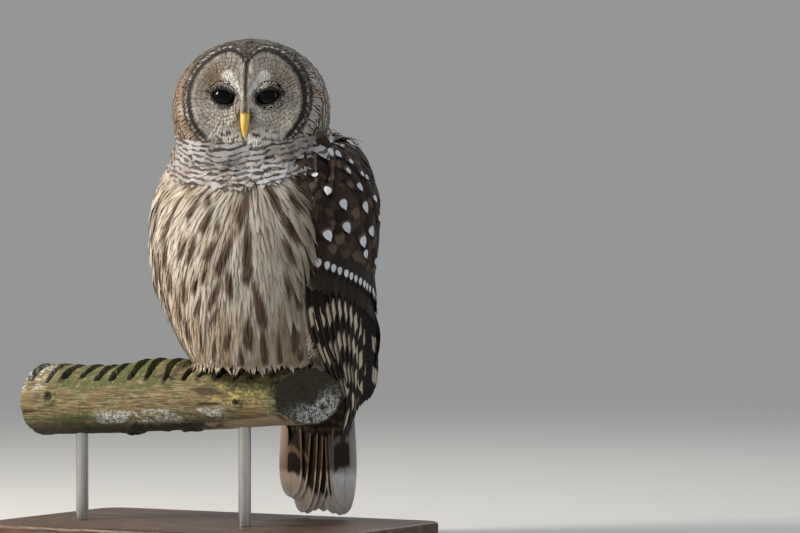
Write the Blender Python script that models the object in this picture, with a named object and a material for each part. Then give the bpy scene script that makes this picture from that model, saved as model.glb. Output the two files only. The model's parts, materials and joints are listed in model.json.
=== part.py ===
"""Barred owl at life size, perched on a notched log that a plain display stand carries.

Frame: metres, +Z up, origin at the centre of the base's underside. The log runs along X, the
owl sits across it and faces -Y, so the owl's left side is +X. Its head is turned to its left.
The owl is laid out in its own coordinates: x towards its left, y towards its back, both from
the point of the log's axis under it, and z from the table. `placed` moves that to the frame.
"""

import math

import bmesh
import bpy
from mathutils import Matrix, Vector

# ---- Driving dimensions, metres and degrees -------------------------------------------------
GAP = 0.0003  # clearance between pieces that touch
OWL_X, OWL_Y = 0.068, -0.0285  # where the owl's own origin stands in the part's frame

BASE_SIZE = (0.380, 0.250, 0.016)
BASE_CORNER = 0.022
ROD_RADIUS = 0.006
ROD_SPOTS = (-0.192, -0.010)  # along the log, from the owl
ROD_SEAT = 0.014  # how far a rod goes into the log

LOG_Z, LOG_SLOPE = 0.1390, 0.040  # its axis under the owl, and its rise to the right
LOG_LEFT, LOG_RIGHT = -0.2425, 0.060  # along the log, from the owl
LOG_SPARE = 0.032  # how far it is made past its right end before that is sawn off
LOG_RADII = (0.0350, 0.0272)  # at its left and right end
LOG_SIDES = 14
LOG_SKEW = 0.22  # how far the notches run askew over the log
HUMP_FROM, HUMP_FULL, HUMP_END, HUMP_HEIGHT = -0.160, -0.100, -0.070, 0.0075
NOTCH_FIRST, NOTCH_PITCH, NOTCH_COUNT = -0.2270, 0.0186, 15
NOTCH_WIDTH = 0.0060
NOTCH_DEPTHS = (0.0165, 0.0110)  # at the log's left and right end
CUT_ANGLE = 37.0  # how far the sawn right end is turned to the front

# Height, half width, front, back and the level of the widest place, from the belly's hem up.
BODY_STATIONS = (
    (0.1660, 0.062, -0.0500, 0.062, 0.006),
    (0.1850, 0.074, -0.0600, 0.078, 0.010),
    (0.2250, 0.093, -0.0690, 0.097, 0.014),
    (0.2620, 0.105, -0.0740, 0.106, 0.016),
    (0.3000, 0.110, -0.0750, 0.110, 0.018),
    (0.3300, 0.105, -0.0715, 0.110, 0.020),
    (0.3500, 0.095, -0.0670, 0.106, 0.020),
    (0.3700, 0.084, -0.0635, 0.098, 0.018),
    (0.3880, 0.073, -0.0590, 0.084, 0.014),
    (0.4050, 0.058, -0.0520, 0.064, 0.008),
)
BODY_SIDES = 28
BODY_ROUNDNESS = 2.15  # exponent of the superellipse
HEM_RISE, HEM_LEVEL = 0.0070, 0.2100  # how far the hem rises at the sides, and up to where
HOLLOW_TOP, HOLLOW_SHARE = 0.1900, 0.76  # the hollow under the belly, over the feet

NECK_LOW = (0.3400, 12.0)  # height over the owl's origin and backward rise of each cut
NECK_HIGH = (0.3800, 9.0)

HEAD_CENTRE = (0.0018, -0.0068, 0.4115)
HEAD_YAW = 26.0
HEAD_SIDE, HEAD_UP, HEAD_DOWN, HEAD_DEPTH = 0.0753, 0.0650, 0.0760, 0.0715
DISC_CENTRE_UP, DISC_SIDE, DISC_HIGH = 0.008, 0.0545, 0.0500
DISC_RECESS, EYE_RECESS, EYE_HOLLOW = 0.0085, 0.0060, 0.0150
DISC_RIM = (0.72, 1.04)  # shares of the disc's size between which it rises to the outline
DISC_NOTCH, DISC_NOTCH_SIDE = 0.16, 0.014  # the brow's dip between the discs
CHIN_UP, CHIN_RECESS, CHIN_HOLLOW = -0.0250, 0.0030, (0.010, 0.009)
EYE_SIDE, EYE_UP, EYE_FORWARD, EYE_RADIUS = 0.0205, 0.0098, 0.0450, 0.0138

WING_THICK = 0.0115
TAIL_TIP_Z, TAIL_TOP_Z = 0.0280, 0.2300
CLAW_LENGTH, CLAW_START = 0.0165, 0.0016


# ---- Helpers --------------------------------------------------------------------------------
def clear_scene():
    for obj in list(bpy.data.objects):
        bpy.data.objects.remove(obj)


def material(name, colour, roughness, metallic=0.0):
    made = bpy.data.materials.new(name)
    made.use_nodes = True
    shader = made.node_tree.nodes["Principled BSDF"]
    shader.inputs["Base Color"].default_value = (*colour, 1.0)
    shader.inputs["Roughness"].default_value = roughness
    shader.inputs["Metallic"].default_value = metallic
    return made


def smooth_step(low, high, value):
    t = min(1.0, max(0.0, (value - low) / (high - low)))
    return t * t * (3.0 - 2.0 * t)


def mix(a, b, t):
    return a + (b - a) * t


def along(stations, key):
    """The row of values at `key`, on a smooth curve through the stations' rows."""
    rows = [tuple(row) for row in stations]
    if key <= rows[0][0]:
        return rows[0][1:]
    if key >= rows[-1][0]:
        return rows[-1][1:]
    i = max(k for k in range(len(rows) - 1) if rows[k][0] <= key)
    before, after = rows[max(i - 1, 0)], rows[min(i + 2, len(rows) - 1)]
    low, high = rows[i], rows[i + 1]
    span = high[0] - low[0]
    t = (key - low[0]) / span
    values = []
    for k in range(1, len(low)):
        slope_low = (high[k] - before[k]) / (high[0] - before[0]) * span
        slope_high = (after[k] - low[k]) / (after[0] - low[0]) * span
        values.append(
            low[k] * (2 * t**3 - 3 * t**2 + 1)
            + slope_low * (t**3 - 2 * t**2 + t)
            + high[k] * (3 * t**2 - 2 * t**3)
            + slope_high * (t**3 - t**2)
        )
    return values


def placed(point):
    """A point of the owl's own coordinates in the part's frame."""
    return Vector((point[0] + OWL_X, point[1] + OWL_Y, point[2]))


def solid(name, points, faces, look, smooth=True):
    """An object of one closed mesh, whose faces are turned outwards."""
    mesh = bpy.data.meshes.new(name)
    mesh.from_pydata([tuple(p) for p in points], [], faces)
    work = bmesh.new()
    work.from_mesh(mesh)
    bmesh.ops.recalc_face_normals(work, faces=work.faces)
    work.to_mesh(mesh)
    work.free()
    mesh.materials.append(look)
    if smooth:
        mesh.shade_smooth()
        mesh.set_sharp_from_angle(angle=math.radians(40))
    obj = bpy.data.objects.new(name, mesh)
    bpy.context.scene.collection.objects.link(obj)
    return obj


def loft(name, rings, look, start_point=None, end_point=None):
    """A closed skin over rings of equal point counts. An end is a fan to its point, or flat."""
    count = len(rings[0])
    points = [p for ring in rings for p in ring]
    faces = []
    for i in range(len(rings) - 1):
        for j in range(count):
            k = (j + 1) % count
            low, high = i * count, (i + 1) * count
            faces += [(low + j, low + k, high + k), (low + j, high + k, high + j)]
    for ring, centre, reverse in ((0, start_point, True), (len(rings) - 1, end_point, False)):
        loop = [ring * count + j for j in range(count)]
        if reverse:
            loop.reverse()
        if centre is None:
            faces.append(tuple(loop))
            continue
        points.append(centre)
        tip = len(points) - 1
        faces += [(loop[j], loop[(j + 1) % count], tip) for j in range(count)]
    return solid(name, points, faces, look)


def keep_below(obj, point, normal):
    """Cuts away what lies on the side that the normal points to, and closes the cut."""
    work = bmesh.new()
    work.from_mesh(obj.data)
    bmesh.ops.bisect_plane(
        work,
        geom=work.verts[:] + work.edges[:] + work.faces[:],
        plane_co=point,
        plane_no=normal,
        clear_outer=True,
    )
    rim = [edge for edge in work.edges if edge.is_boundary]
    bmesh.ops.holes_fill(work, edges=rim, sides=0)
    bmesh.ops.recalc_face_normals(work, faces=work.faces)
    work.to_mesh(obj.data)
    work.free()


def combine(obj, other, operation):
    """Applies a Boolean between two objects and removes the second."""
    modifier = obj.modifiers.new(operation.title(), "BOOLEAN")
    modifier.operation = operation
    modifier.solver = "EXACT"
    modifier.object = other
    graph = bpy.context.evaluated_depsgraph_get()
    made = bpy.data.meshes.new_from_object(obj.evaluated_get(graph))
    obj.modifiers.clear()
    obj.data = made
    bpy.data.objects.remove(other)


def ball(name, centre, radius, look, rings=7, sides=14, frame=None):
    """A sphere whose poles lie along the frame's third axis."""
    frame = frame or Matrix.Identity(3)
    loops = []
    for i in range(1, rings):
        polar = math.pi * i / rings
        loops.append(
            [
                centre
                + frame
                @ Vector(
                    (
                        radius * math.sin(polar) * math.cos(turn),
                        radius * math.sin(polar) * math.sin(turn),
                        radius * math.cos(polar),
                    )
                )
                for turn in (2 * math.pi * j / sides for j in range(sides))
            ]
        )
    pole = frame @ Vector((0, 0, radius))
    return loft(name, loops, look, centre + pole, centre - pole)


# ---- Trunk and neck -------------------------------------------------------------------------
def round_power(value):
    return math.copysign(abs(value) ** (2.0 / BODY_ROUNDNESS), value)


def body_point(turn, height, grow=0.0):
    """A point of the body's surface; turn is 0 at the breast and 90 degrees at its left side."""
    half, front, back, middle = along(BODY_STATIONS, height)
    reach = middle - front if math.cos(turn) > 0 else back - middle
    x = (half + grow) * round_power(math.sin(turn))
    y = middle - (reach + grow) * round_power(math.cos(turn))
    return Vector((x, y, height))


def hem_lift(turn, height):
    """The hem hangs lower before and behind the log than beside it."""
    hem = BODY_STATIONS[0][0]
    return HEM_RISE * math.sin(turn) ** 2 * (1.0 - smooth_step(hem, HEM_LEVEL, height))


def body_ring(height, share=1.0, level=None):
    middle = along(BODY_STATIONS, height)[3]
    ring = []
    for j in range(BODY_SIDES):
        turn = 2 * math.pi * j / BODY_SIDES
        p = body_point(turn, height)
        z = level or height + hem_lift(turn, height)
        ring.append(placed((p.x * share, middle + (p.y - middle) * share, z)))
    return ring


def body(name, look):
    """Trunk and neck in one, with the hollow that the feet stand in under the belly."""
    hem, top = BODY_STATIONS[0][0], BODY_STATIONS[-1][0]
    rings = [body_ring(hem, HOLLOW_SHARE, HOLLOW_TOP), body_ring(hem, 0.92)]
    steps = 14
    rings += [body_ring(hem + (top - hem) * i / steps) for i in range(steps + 1)]
    inside = placed((0, BODY_STATIONS[0][4], HOLLOW_TOP + 0.001))
    return loft(name, rings, look, start_point=inside)


def cut_plane(height, rise):
    """A plane through the body at that height over the owl's origin, higher at the back."""
    angle = math.radians(rise)
    return placed((0, 0, height)), Vector((0, -math.sin(angle), math.cos(angle)))


def trunk_and_neck(look, neck_look):
    trunk, neck = body("trunk", look), body("neck", neck_look)
    point, up = cut_plane(*NECK_LOW)
    keep_below(trunk, point - up * GAP / 2, up)
    keep_below(neck, point + up * GAP / 2, -up)
    point, up = cut_plane(*NECK_HIGH)
    keep_below(neck, point - up * GAP / 2, up)
    return trunk, neck


# ---- Head -----------------------------------------------------------------------------------
def head_frame():
    """Columns are the head's left, up and forward directions."""
    yaw = math.radians(HEAD_YAW)
    left = Vector((math.cos(yaw), math.sin(yaw), 0))
    forward = Vector((math.sin(yaw), -math.cos(yaw), 0))
    return Matrix((left, Vector((0, 0, 1)), forward)).transposed()


def on_head(side, up, forward):
    return placed(HEAD_CENTRE) + head_frame() @ Vector((side, up, forward))


def face_recess(side, up):
    """How far the facial disc lies behind the head's round outline."""
    across, high = side / DISC_SIDE, (up - DISC_CENTRE_UP) / DISC_HIGH
    notch = DISC_NOTCH * math.exp(-((side / DISC_NOTCH_SIDE) ** 2)) * smooth_step(0.0, 1.0, high)
    inside = 1.0 - smooth_step(*DISC_RIM, math.hypot(across, high) + notch)
    eye = math.hypot(abs(side) - EYE_SIDE, up - EYE_UP) / EYE_HOLLOW
    chin = math.hypot(side / CHIN_HOLLOW[0], (up - CHIN_UP) / CHIN_HOLLOW[1])
    deeper = EYE_RECESS * math.exp(-eye * eye) + CHIN_RECESS * math.exp(-chin * chin)
    return inside * (DISC_RECESS + deeper)


def head_point(polar, turn):
    """A point of the head; polar is 0 at the bill and 180 degrees at the nape."""
    direction = Vector(
        (
            math.sin(polar) * math.sin(turn),
            math.sin(polar) * math.cos(turn),
            math.cos(polar),
        )
    )
    high = HEAD_UP if direction.y > 0 else HEAD_DOWN
    power = 2.0 if direction.y > 0 else 2.3
    radius = (
        abs(direction.x / HEAD_SIDE) ** power
        + abs(direction.y / high) ** power
        + abs(direction.z / HEAD_DEPTH) ** power
    ) ** (-1.0 / power)
    p = direction * radius
    if p.z > 0:
        p.z -= face_recess(p.x, p.y)
    return on_head(*p)


def bill_rings(start, heading, turn, length, sizes, sides=8, grow=0.0):
    """Rings along a bent mandible; sizes are the station, half width and half height."""
    steps = 9
    place, rings = Vector(start), []
    for i in range(steps + 1):
        share = i / steps
        angle = math.radians(heading + turn * share)
        ahead = Vector((0, math.sin(angle), math.cos(angle)))
        above = Vector((0, math.cos(angle), -math.sin(angle)))
        if i:
            place = place + ahead * length / steps
        width, height = along(sizes, share)
        rings.append(
            [
                on_head(
                    *(
                        place
                        + Vector(((width + grow) * math.cos(a), 0, 0))
                        + above * (height + grow) * math.sin(a)
                    )
                )
                for a in (2 * math.pi * j / sides for j in range(sides))
            ]
        )
    return rings, on_head(*(place + ahead * (0.0004 + grow)))


UPPER_BILL = dict(
    start=(0, 0.0010, 0.0505),
    heading=-14.0,
    turn=-84.0,
    length=0.0370,
    sizes=(
        (0.0, 0.0050, 0.0072),
        (0.4, 0.0049, 0.0066),
        (0.7, 0.0039, 0.0048),
        (0.9, 0.0021, 0.0024),
        (1.0, 0.0007, 0.0008),
    ),
)
LOWER_BILL = dict(
    start=(0, -0.0185, 0.0480),
    heading=-8.0,
    turn=-10.0,
    length=0.0155,
    sizes=((0.0, 0.0046, 0.0026), (0.6, 0.0038, 0.0021), (1.0, 0.0012, 0.0010)),
)


def mandible(name, shape, look, grow=0.0):
    rings, tip = bill_rings(**shape, grow=grow)
    return loft(name, rings, look, end_point=tip)


def eye(name, side, look, grow=0.0):
    centre = on_head(side * EYE_SIDE, EYE_UP, EYE_FORWARD)
    return ball(name, centre, EYE_RADIUS + grow, look, frame=head_frame())


def head(look, eye_look, bill_look):
    sides, rows = 30, 19
    rings = [
        [head_point(math.pi * i / rows, 2 * math.pi * j / sides) for j in range(sides)]
        for i in range(1, rows)
    ]
    skull = loft("head", rings, look, head_point(0, 0), head_point(math.pi, 0))
    point, up = cut_plane(*NECK_HIGH)
    keep_below(skull, point + up * GAP / 2, -up)
    for side in (-1, 1):
        combine(skull, eye("eye_seat", side, eye_look, GAP), "DIFFERENCE")
    combine(skull, mandible("bill_seat", UPPER_BILL, bill_look, GAP), "DIFFERENCE")
    combine(skull, mandible("bill_seat", LOWER_BILL, bill_look, GAP), "DIFFERENCE")
    eye("eye_left", 1, eye_look)
    eye("eye_right", -1, eye_look)
    mandible("bill_upper", UPPER_BILL, bill_look)
    mandible("bill_lower", LOWER_BILL, bill_look)


# ---- Wings ----------------------------------------------------------------------------------
# Height; turn of the front edge, and how far it stands off the body's outline; the same for
# the back edge; share of the full thickness.
WING_STATIONS = (
    (0.1280, 128.0, 0.0120, 141.0, 0.0360, 0.40),
    (0.1400, 118.0, 0.0050, 143.0, 0.0410, 0.60),
    (0.1600, 98.0, 0.0020, 143.0, 0.0420, 0.80),
    (0.1800, 84.0, 0.0020, 143.0, 0.0410, 0.95),
    (0.2000, 71.0, 0.0020, 143.0, 0.0355, 1.05),
    (0.2300, 56.0, 0.0030, 154.0, 0.0120, 1.10),
    (0.2700, 55.0, 0.0020, 158.0, 0.0030, 1.05),
    (0.3200, 55.0, 0.0030, 157.0, 0.0045, 1.05),
    (0.3550, 57.0, 0.0085, 154.0, 0.0080, 1.20),
    (0.3720, 61.0, 0.0090, 150.0, 0.0080, 1.00),
    (0.3830, 71.0, 0.0060, 142.0, 0.0060, 0.50),
)
WING_HANG = 0.1880  # the body's outline at this level carries the part of the wing under it
WING_FEATHERS = 7
SEAT_GAP, SEAT_PROUD = 0.0010, 0.008
WING_HEIGHTS = (0.1280, 0.1350, 0.1460, 0.1600, 0.1760, 0.1960, 0.2180, 0.2450)
WING_HEIGHTS += (0.2850, 0.3250, 0.3550, 0.3720, 0.3830)
RIGHT_SHOULDER, RIGHT_START = 0.3, 8.0  # share of the left one's stand-off; turn back of it
RIGHT_BEHIND_LOG = 124.0  # the right wing's front edge passes behind the log, at this turn
RIGHT_LOW = (0.172, 0.262)  # it does so below the first height, and not above the second
RIGHT_HIGH = (0.24, 0.30)
WING_RELIEF = 0.0013  # steps between the long feathers, which end at the second height
WING_RELIEF_ENDS = (0.235, 0.275)


def wing_shape(height, side):
    front, front_out, back, back_out, share = along(WING_STATIONS, height)
    if side < 0:
        low = 1.0 - smooth_step(*RIGHT_LOW, height)
        front = max(min(front + RIGHT_START, back - 10.0), RIGHT_BEHIND_LOG * low)
        shoulder = mix(1.0, RIGHT_SHOULDER, smooth_step(*RIGHT_HIGH, height))
        front_out, back_out = front_out * shoulder, back_out * shoulder
    return front, front_out, back, back_out, share


def wing_ring(height, side, grow, level):
    """A ring of the wing. With `grow`, a ring of its seat, which is open to the outside."""
    front, front_out, back, back_out, share = wing_shape(height, side)
    proud = SEAT_PROUD * (grow > 0)
    margin = math.degrees(grow / 0.08)
    front, back = front - margin, back + margin
    steps = 2 * WING_FEATHERS
    step_relief = WING_RELIEF * (1.0 - smooth_step(*WING_RELIEF_ENDS, height))
    outer, inner = [], []
    for i in range(steps + 1):
        t = i / steps
        turn = math.radians(mix(front, back, t))
        out = mix(front_out, back_out, t)
        rim = min(1.0, 5.0 * t + 0.16, 5.0 * (1.0 - t) + 0.16)
        thick = WING_THICK * share * math.sin(rim * math.pi / 2)
        relief = step_relief * (i % 2) * (0 < i < steps)
        for line, off in ((outer, out + relief + proud), (inner, out - thick - grow)):
            p = body_point(turn, max(height, WING_HANG), off)
            line.append(placed((p.x * side, p.y, level)))
    inner.reverse()
    return outer + inner


def wing(name, side, look, grow=0.0):
    """A folded wing, let into the body above and hanging free of it below."""
    rings = []
    for height in WING_HEIGHTS:
        level = height
        if height == WING_HEIGHTS[0]:
            level -= grow
        if height == WING_HEIGHTS[-1]:
            level += grow
        rings.append(wing_ring(height, side, grow, level))
    return loft(name, rings, look)


# ---- Tail -----------------------------------------------------------------------------------
TAIL_FEATHERS = 8
TAIL_ROWS = (0.0, 0.1, 0.2, 0.3, 0.4, 0.5, 0.62, 0.80, 1.0)  # shares of the way down
TAIL_HALF = (0.026, 0.0415)  # half width at the root and near the tips
TAIL_BACK, TAIL_SWEEP, TAIL_CUP = 0.1065, 0.0195, 0.0080
TAIL_THICK, TAIL_CROWN, TAIL_RELIEF = (0.0050, 0.0018), 0.0012, 0.0009
TAIL_CORNER, TAIL_STEP = 0.017, 0.004  # the outer feathers end higher, and so do the gaps
# Share of the way down, and depth of the soft feathers under the tail's root.
UNDERTAIL = (
    (0.0, 0.0000),
    (0.1, 0.0095),
    (0.2, 0.0220),
    (0.3, 0.0390),
    (0.4, 0.0310),
    (0.5, 0.0160),
    (0.62, 0.0040),
    (0.8, 0.0),
)


def tail(look):
    """A slab of stacked feathers: its rows run across and down, then back up behind."""
    columns = 2 * TAIL_FEATHERS
    front, back = [], []
    for down in TAIL_ROWS:
        half = mix(*TAIL_HALF, smooth_step(0.0, 0.75, down))
        depth = along(UNDERTAIL, down)[0]
        across_front, across_back = [], []
        for j in range(columns + 1):
            u = 2.0 * j / columns - 1.0
            shorter = TAIL_CORNER * abs(u) ** 4 + TAIL_STEP * (j % 2 == 0) * (abs(u) < 1)
            z = mix(TAIL_TOP_Z, TAIL_TIP_Z + shorter, down)
            y = TAIL_BACK + TAIL_SWEEP * math.sin(down * math.pi / 2) - TAIL_CUP * u * u * down
            thick = mix(*TAIL_THICK, down) + TAIL_CROWN * (1.0 - abs(u))
            thick += depth * (1.0 - u * u)
            relief = TAIL_RELIEF * (j % 2) * smooth_step(0.2, 0.5, down)
            across_front.append(placed((u * half, y - thick, z)))
            across_back.append(placed((u * half, y + relief, z)))
        front.append(across_front)
        back.append(across_back)
    rings = [f + b[::-1] for f, b in zip(front, back)]
    return loft("tail", rings, look)


# ---- Legs, feet and claws -------------------------------------------------------------------
FOOT_SPACING, FOOT_BACK, FOOT_ANGLE = 0.0230, 0.0125, -22.0
PAD_RADIUS, PAD_OFF = 0.0058, 0.0064
TARSUS_RADIUS = 0.0100
# Toe: sideways offset on the log, sideways spread, start and end angle from the log's top.
TOES = {
    "inner": (-0.0050, -0.0055, -20.0, 14.0),
    "middle": (0.0050, 0.0030, -20.0, 18.0),
    "outer": (0.0050, 0.0080, -24.0, -70.0),
    "hind": (-0.0050, -0.0030, -24.0, -64.0),
}
TOE_RADIUS, TOE_TIP_RADIUS = 0.0047, 0.0038
CLAW_RADIUS, CLAW_TIP_RADIUS, CLAW_ARCH = 0.0030, 0.0006, 0.0022


def log_share(x):
    return min(1.0, max(0.0, (x - LOG_LEFT) / (LOG_RIGHT - LOG_LEFT)))


def log_radius(x):
    return mix(*LOG_RADII, log_share(x))


def log_axis(x):
    """The height of the log's axis."""
    return LOG_Z + LOG_SLOPE * x


def around_log(x, angle, distance):
    """A point at that distance off the log's wood; angle is from its top to the front."""
    turn = math.radians(angle)
    reach = log_radius(x) + distance
    return Vector((x, -reach * math.sin(turn), log_axis(x) + reach * math.cos(turn)))


def tube(name, centres, radii, look, sides=8):
    """A round tube about its centres, which lie in the log's cross direction."""
    rings = []
    for i, centre in enumerate(centres):
        ahead = (centres[min(i + 1, len(centres) - 1)] - centres[max(i - 1, 0)]).normalized()
        across = Vector((1, 0, 0))
        across = (across - ahead * across.dot(ahead)).normalized()
        above = ahead.cross(across)
        rings.append(
            [
                placed(centre + (across * math.cos(a) + above * math.sin(a)) * radii[i])
                for a in (2 * math.pi * j / sides for j in range(sides))
            ]
        )
    return loft(name, rings, look)


def toe_path(side, toe, first, last, steps, distance):
    offset, spread, start, end = TOES[toe]
    total = end - start
    centres = []
    for i in range(steps + 1):
        share = mix(first, last, i / steps)
        x = side * (FOOT_SPACING + offset + spread * share)
        centres.append(around_log(x, start + total * share, distance(share)))
    return centres


def foot(name, side, look, steps=3):
    centre = placed(around_log(side * FOOT_SPACING, FOOT_ANGLE, PAD_OFF))
    pad = ball(name, centre, PAD_RADIUS, look, rings=6, sides=10)
    widen = Matrix.Diagonal((1.75, 1.25, 1.0, 1.0))
    pad.data.transform(Matrix.Translation(centre) @ widen @ Matrix.Translation(-centre))
    for toe in TOES:
        centres = toe_path(side, toe, 0.0, 1.0, steps, lambda s: TOE_RADIUS + GAP)
        radii = [mix(TOE_RADIUS, TOE_TIP_RADIUS, i / steps) for i in range(steps + 1)]
        combine(pad, tube("toe", centres, radii, look, sides=7), "UNION")


def claw(name, side, toe, look, steps=3):
    offset, spread, start, end = TOES[toe]
    x = side * (FOOT_SPACING + offset + spread)
    arc = math.degrees(CLAW_LENGTH / log_radius(x)) * math.copysign(1, end - start)
    first = math.degrees(CLAW_START / log_radius(x)) * math.copysign(1, end - start)
    centres, radii = [], []
    for i in range(steps + 1):
        share = i / steps
        radius = mix(CLAW_RADIUS, CLAW_TIP_RADIUS, share)
        arch = CLAW_ARCH * math.sin(math.pi * share)
        off = mix(TOE_RADIUS, CLAW_TIP_RADIUS, share) + GAP * 2 + arch
        centres.append(around_log(x, end + first + arc * share, off))
        radii.append(radius)
    tube(name, centres, radii, look, sides=6)


def tarsus(name, side, look):
    low = around_log(side * FOOT_SPACING, FOOT_ANGLE, PAD_OFF).z + PAD_RADIUS + GAP
    x, y = side * FOOT_SPACING, FOOT_BACK
    rings = []
    for z, radius in ((low, 0.85 * TARSUS_RADIUS), (HOLLOW_TOP - GAP, TARSUS_RADIUS)):
        rings.append(
            [
                placed((x + radius * math.cos(a), y + radius * math.sin(a), z))
                for a in (2 * math.pi * j / 12 for j in range(12))
            ]
        )
    return loft(name, rings, look)


def legs_and_feet(feather_look, claw_look):
    for side, word in ((1, "left"), (-1, "right")):
        tarsus("leg_" + word, side, feather_look)
        foot("foot_" + word, side, feather_look)
        for toe in TOES:
            claw(f"claw_{toe}_{word}", side, toe, claw_look)


# ---- Log and stand --------------------------------------------------------------------------
def hump(x):
    """How much the log's top swells on the left of the owl, up to a sudden step."""
    return HUMP_HEIGHT * smooth_step(HUMP_FROM, HUMP_FULL, x) * (x < HUMP_END)


def log_ring(x, share=1.0, depth=None):
    """A ring of the log; within a notch, what is less deep than `depth` is cut away."""
    radius, ring = log_radius(x) * share, []
    for j in range(LOG_SIDES):
        a = 2 * math.pi * (j + 0.5) / LOG_SIDES
        lump = 1.0 + 0.016 * math.sin(3 * a + 17 * x) + 0.010 * math.sin(5 * a - 31 * x)
        y, z = -radius * lump * math.cos(a), radius * lump * math.sin(a)
        if z > 0:
            y, z = y / lump, z / lump + hump(x) * math.sin(a) ** 1.5
        if depth is not None:
            z = min(z, radius - depth)
        ring.append(placed((x + LOG_SKEW * y, y, log_axis(x) + z)))
    return ring


def perch(look):
    """The log, with saw-cut notches across its top, a rounded left and an oblique right end."""
    sections = ((0.0008, 0.52), (0.0045, 0.76), (0.0110, 0.93))
    rings = [log_ring(LOG_LEFT + inwards, share) for inwards, share in sections]
    for n in range(NOTCH_COUNT):
        x = NOTCH_FIRST + NOTCH_PITCH * n + 0.0014 * math.sin(2.3 * n)
        depth = mix(*NOTCH_DEPTHS, log_share(x)) * (1.0 + 0.12 * math.sin(1.7 * n))
        half = NOTCH_WIDTH * (0.5 + 0.10 * math.cos(2.9 * n))
        rings += [log_ring(x - half), log_ring(x - half + 0.0006, 1.0, depth)]
        rings += [log_ring(x + half - 0.0006, 1.0, depth), log_ring(x + half)]
    rings.append(log_ring(LOG_RIGHT + LOG_SPARE))
    obj = loft("perch", rings, look, start_point=placed((LOG_LEFT, 0, log_axis(LOG_LEFT))))
    angle = math.radians(CUT_ANGLE)
    normal = Vector((math.cos(angle), -math.sin(angle), 0))
    keep_below(obj, placed((LOG_RIGHT, 0, LOG_Z)), normal)
    return obj


def rod(name, x, look, grow=0.0):
    top = log_axis(x) - log_radius(x) + ROD_SEAT
    rings = []
    for z in (BASE_SIZE[2] + GAP - grow, top + grow):
        rings.append(
            [
                placed((x, 0, z))
                + Vector((math.cos(a), math.sin(a), 0)) * (ROD_RADIUS + grow)
                for a in (2 * math.pi * j / 16 for j in range(16))
            ]
        )
    return loft(name, rings, look)


def stand(base_look, rod_look, log):
    work = bmesh.new()
    bmesh.ops.create_cube(work, size=1.0)
    bmesh.ops.scale(work, vec=BASE_SIZE, verts=work.verts)
    bmesh.ops.translate(work, vec=(0, 0, BASE_SIZE[2] / 2), verts=work.verts)
    uprights = [e for e in work.edges if abs(e.verts[0].co.z - e.verts[1].co.z) > 1e-6]
    round_off = dict(affect="EDGES", profile=0.5)
    bmesh.ops.bevel(work, geom=uprights, offset=BASE_CORNER, segments=5, **round_off)
    top = max(work.faces, key=lambda face: face.calc_center_median().z)
    bmesh.ops.bevel(work, geom=top.edges[:], offset=0.003, segments=2, **round_off)
    mesh = bpy.data.meshes.new("stand_base")
    work.to_mesh(mesh)
    work.free()
    mesh.materials.append(base_look)
    mesh.shade_smooth()
    mesh.set_sharp_from_angle(angle=math.radians(40))
    base = bpy.data.objects.new("stand_base", mesh)
    bpy.context.scene.collection.objects.link(base)
    for x, word in zip(ROD_SPOTS, ("left", "right")):
        combine(log, rod("rod_hole", x, rod_look, GAP), "DIFFERENCE")
        rod("stand_rod_" + word, x, rod_look)


def main():
    clear_scene()
    breast = material("breast_feathers", (0.55, 0.46, 0.36), 0.85)
    dark = material("dark_feathers", (0.16, 0.11, 0.08), 0.80)
    ruff = material("ruff_feathers", (0.48, 0.42, 0.36), 0.85)
    yellow = material("bill_horn", (0.80, 0.55, 0.08), 0.40)
    iris = material("dark_eye", (0.012, 0.008, 0.006), 0.05)
    talon = material("claw_horn", (0.05, 0.04, 0.04), 0.35)
    wood = material("weathered_wood", (0.30, 0.24, 0.13), 0.85)
    oak = material("stand_wood", (0.16, 0.09, 0.05), 0.45)
    steel = material("stand_steel", (0.42, 0.41, 0.39), 0.35, 1.0)
    flesh = trunk_and_neck(breast, ruff)
    head(ruff, iris, yellow)
    for side, name in ((1, "wing_left"), (-1, "wing_right")):
        for piece in flesh:
            combine(piece, wing("wing_seat", side, dark, SEAT_GAP), "DIFFERENCE")
        wing(name, side, dark)
    tail(dark)
    legs_and_feet(breast, talon)
    stand(oak, steel, perch(wood))


main()
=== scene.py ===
# %% [markdown]
# # A barred owl on a length of log
#
# A museum keeps birds like this one on a stand: the owl grips a short piece of an old notched
# log, and two steel rods carry the log over a wooden base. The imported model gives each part's
# place and main shape. This lesson dresses it: a skin, several thousand feathers laid on that
# skin, a bill, eyes and claws, and the finishes of the wood and steel.

# %% The frame that everything is fitted to
import json
import math

import bpy
import numpy as np
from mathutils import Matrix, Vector, noise
from mathutils.bvhtree import BVHTree
from mathutils.kdtree import KDTree

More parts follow.
